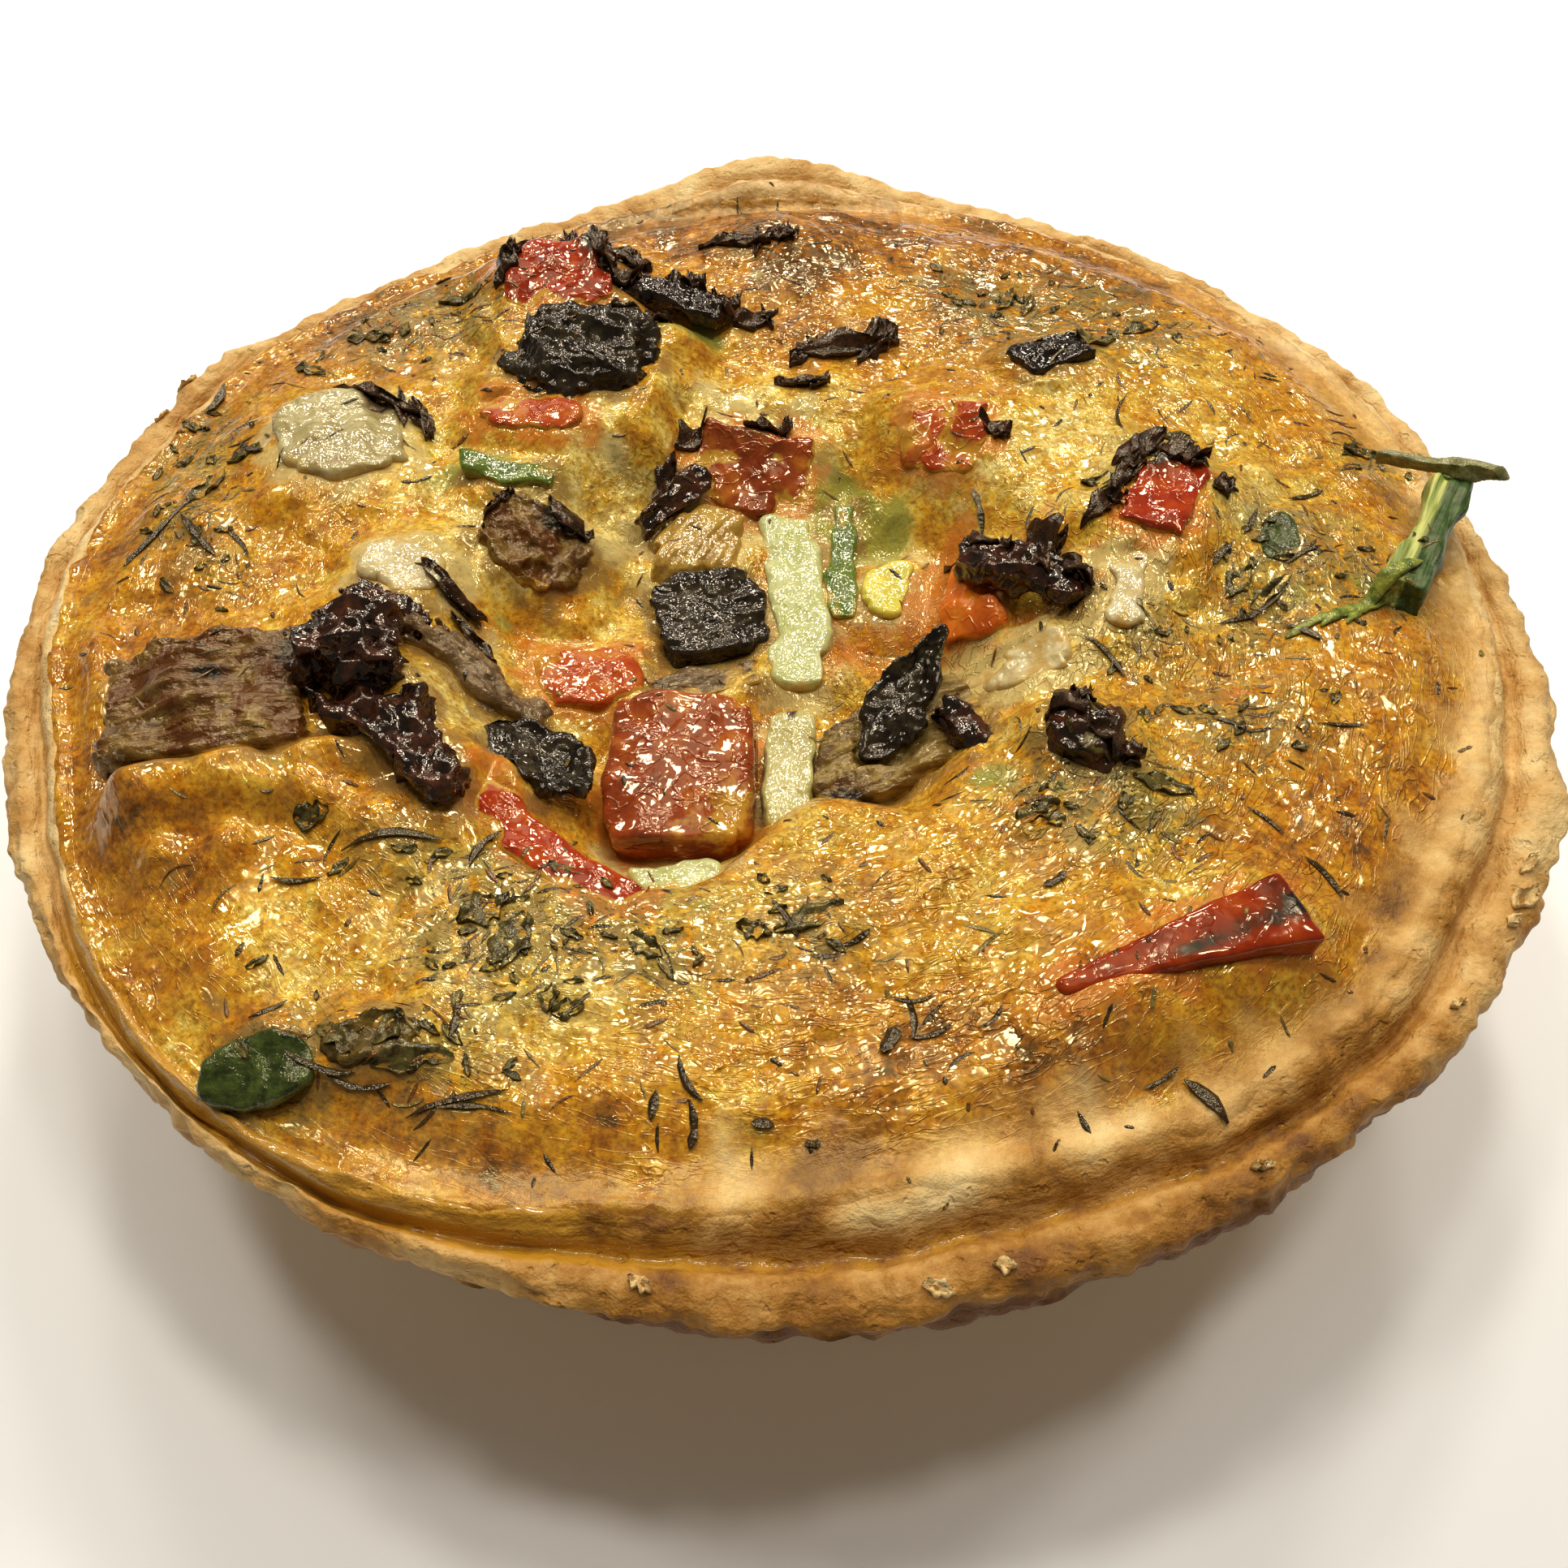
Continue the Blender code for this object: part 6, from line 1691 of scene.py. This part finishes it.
def scatter_leaves(tree, draw):
    """Crushed leaves: the marked ones, and small flakes where the custard is dusted with herbs."""
    leaves = Heap(tree, SEED + 5)
    for x, y, length, width, turn in MARKED_LEAVES:
        leaves.leaf(x * MM, y * MM, 0.9 * length * MM, 0.8 * width * MM, math.radians(turn),
                    lift=-0.04 * MM, wave=0.6 * MM, steps=(12, 6))
    for at_x, at_y, spread, _ in HERBED:
        for _ in range(FLAKES_A_BED):
            x, y = np.array((at_x, at_y)) * MM + spread * MM * draw.normal(0.0, 0.6, 2)
            length = draw.uniform(0.7, 1.8) * MM
            width = length * draw.uniform(0.3, 0.6)
            turn = draw.uniform(0.0, math.pi)
            leaves.leaf(x, y, length, width, turn, lift=0.0, wave=0.4 * MM, steps=(5, 3))
    material = make_herb_material("crushed_leaves", (0.15, 0.115, 0.028), (0.024, 0.017, 0.006))
    leaves.serve("crushed_herb_leaves", material, "green")


def scatter_herbs(surfaces):
    """Marked needles, needles in beds and everywhere, and crushed leaves."""
    tree = surface_tree(surfaces)
    finishes = {kind: make_herb_material(*look) for kind, look in NEEDLE_FINISHES.items()}
    draw = np.random.default_rng(SEED + 4)
    scatter_marked(tree, finishes["dark"])
    scatter_needles(tree, draw, finishes)
    scatter_leaves(tree, draw)


def lay_stem_tail(surfaces):
    """The stem's limp end: green strands that run on over the custard and thin out."""
    tail = Heap(surface_tree(surfaces), SEED + 8)
    for x, y, length, width, turn in STEM_TAIL:
        tail.needle(x * MM, y * MM, length * MM, width * MM, math.radians(turn), 0.5 * MM, sides=8,
                    stations=14, sink=0.35, lumpy=0.15)
    green = make_herb_material("limp_green", (0.34, 0.36, 0.055), (0.075, 0.11, 0.018))
    tail.serve("stem_tail", green, "green")


def scatter_wisps(surfaces):
    """Burnt shreds: crumpled slivers with pointed ends, each with a smaller one across it."""
    wisps = Heap(surface_tree(surfaces), SEED + 6)
    for x, y, length, width, turn, curl in CHAR_WISPS:
        way = math.radians(turn)
        wisps.leaf(x * MM, y * MM, length * MM, 1.3 * width * MM, way, lift=0.15 * MM, wave=0.9 * MM,
                   thickness=0.3 * MM, steps=(12, 4), tip=1.2, curl=curl * MM, tilt=0.35 * curl * MM)
        side = way + wisps.draw.uniform(0.5, 2.6)
        end_x = x * MM + 0.3 * length * MM * math.cos(way)
        end_y = y * MM + 0.3 * length * MM * math.sin(way)
        wisps.leaf(end_x, end_y, 0.5 * length * MM, 0.8 * width * MM, side, lift=0.2 * MM, wave=0.7 * MM,
                   thickness=0.25 * MM, steps=(8, 3), tip=1.2, curl=curl * MM, tilt=0.2 * curl * MM)
    burnt = make_herb_material("burnt_slivers", (0.070, 0.026, 0.010), (0.008, 0.005, 0.004))
    wisps.serve("burnt_wisps", burnt, "char")


def scatter_chips(shell, pastry):
    """Thin pale chips that lift off the pastry's outer bead."""
    chips = Heap(surface_tree([shell]), SEED + 7)
    for angle, out, length, width in PASTRY_CHIPS:
        turn = math.radians(angle)
        reach = float(rim_radius(np.array(angle))) + out * MM
        chips.leaf(reach * math.cos(turn), reach * math.sin(turn), length * MM, width * MM, turn + 1.2,
                   lift=0.10 * MM, wave=0.6 * MM, thickness=0.3 * MM, steps=(10, 5))
    item = chips.serve("pastry_chips", pastry, "pastry")
    paint(item, "toast_and_shade", np.full(len(item.data.vertices), CHIP_TOAST))


# --- Light, floor and camera ---

FOCAL_PIXELS = 1937.0       # focal length in pixels of the square 1932 pixel picture
PICTURE_PIXELS = 1932.0
SENSOR_WIDTH = 36.0
CAMERA_PLACE = (0.40 * MM, -91.39 * MM, 118.09 * MM)
CAMERA_PITCH = 0.90053      # radians below the horizon
CAMERA_ROLL = -0.00561
LAMP_PLACES = (
    (0.05, 0.36, 0.52), (-0.14, 0.44, 0.50), (0.22, 0.40, 0.48), (-0.30, 0.30, 0.52), (0.34, 0.20, 0.54),
    (0.00, 0.16, 0.66), (-0.18, 0.10, 0.64), (0.16, 0.02, 0.66), (0.02, 0.58, 0.38),
)
LAMP_SIZE = 0.075
LAMP_WATTS = 0.62
LAMP_COLOUR = (1.0, 0.95, 0.86)
# Large soft lights: place and size in metres, and watts.
SOFTBOXES = {
    "overhead_softbox": ((0.02, 0.14, 0.62), 0.42, 0.5),
    "back_softbox": ((-0.25, 0.62, 0.42), 0.34, 0.3),
}
AIR_COLOUR = (1.0, 0.93, 0.82, 1.0)
AIR_STRENGTH = 0.13
FLOOR_COLOUR = (0.95, 0.945, 0.93, 1.0)
FLOOR_ROUGHNESS = 0.7
FLOOR_SIZE = 6.0
FLOOR_LEVEL = -0.02 * MM


def set_camera():
    data = bpy.data.cameras.new("portrait_camera")
    data.sensor_width = SENSOR_WIDTH
    data.lens = FOCAL_PIXELS / PICTURE_PIXELS * SENSOR_WIDTH
    data.clip_start = 1.0 * MM
    camera = bpy.data.objects.new("portrait_camera", data)
    bpy.context.scene.collection.objects.link(camera)
    camera.matrix_world = (
        Matrix.Translation(CAMERA_PLACE)
        @ Matrix.Rotation(math.pi / 2.0 - CAMERA_PITCH, 4, "X")
        @ Matrix.Rotation(CAMERA_ROLL, 4, "Z"))
    bpy.context.scene.camera = camera


def add_light(name, place, size, watts):
    """A round lamp that faces the origin."""
    data = bpy.data.lights.new(name, "AREA")
    data.shape = "DISK"
    data.size = size
    data.energy = watts
    data.color = LAMP_COLOUR
    light = bpy.data.objects.new(name, data)
    bpy.context.scene.collection.objects.link(light)
    light.location = place
    light.rotation_euler = (-Vector(place)).to_track_quat("-Z", "Y").to_euler()


def light_studio():
    for name, (place, size, watts) in SOFTBOXES.items():
        add_light(name, place, size, watts)
    for index, place in enumerate(LAMP_PLACES):
        add_light(f"glint_lamp_{index}", place, LAMP_SIZE, LAMP_WATTS)
    world = bpy.data.worlds.new("studio_air")
    bpy.context.scene.world = world
    world.use_nodes = True
    background = world.node_tree.nodes["Background"]
    background.inputs["Color"].default_value = AIR_COLOUR
    background.inputs["Strength"].default_value = AIR_STRENGTH
    settings = bpy.context.scene.view_settings
    settings.view_transform = "Standard"
    settings.look = "None"
    settings.exposure = 0.0


def lay_floor():
    deselect_all()
    bpy.ops.mesh.primitive_plane_add(size=FLOOR_SIZE, location=(0.0, 0.0, FLOOR_LEVEL))
    floor = bpy.context.object
    floor.name = "pale_floor"
    material, _, shader = start_material("pale_floor_finish")
    shader["Base Color"].default_value = FLOOR_COLOUR
    shader["Roughness"].default_value = FLOOR_ROUGHNESS
    floor.data.materials.append(material)


# --- Making it all ---


def main():
    deselect_all()
    pastry = make_pastry_material()
    shell = raise_shell()
    bake_shell(shell)
    serve(shell, pastry, "pastry", "crust")

    pieces = dress_vegetables()
    custard = shape_custard(shell, pieces)
    serve(custard, make_custard_material(), "custard", "filling")
    sink_into(custard, pieces)

    surfaces = [shell, custard] + [item for item, _ in pieces]
    scatter_herbs(surfaces)
    lay_stem_tail(surfaces)
    scatter_wisps(surfaces)
    scatter_chips(shell, pastry)

    set_camera()
    light_studio()
    lay_floor()


main()
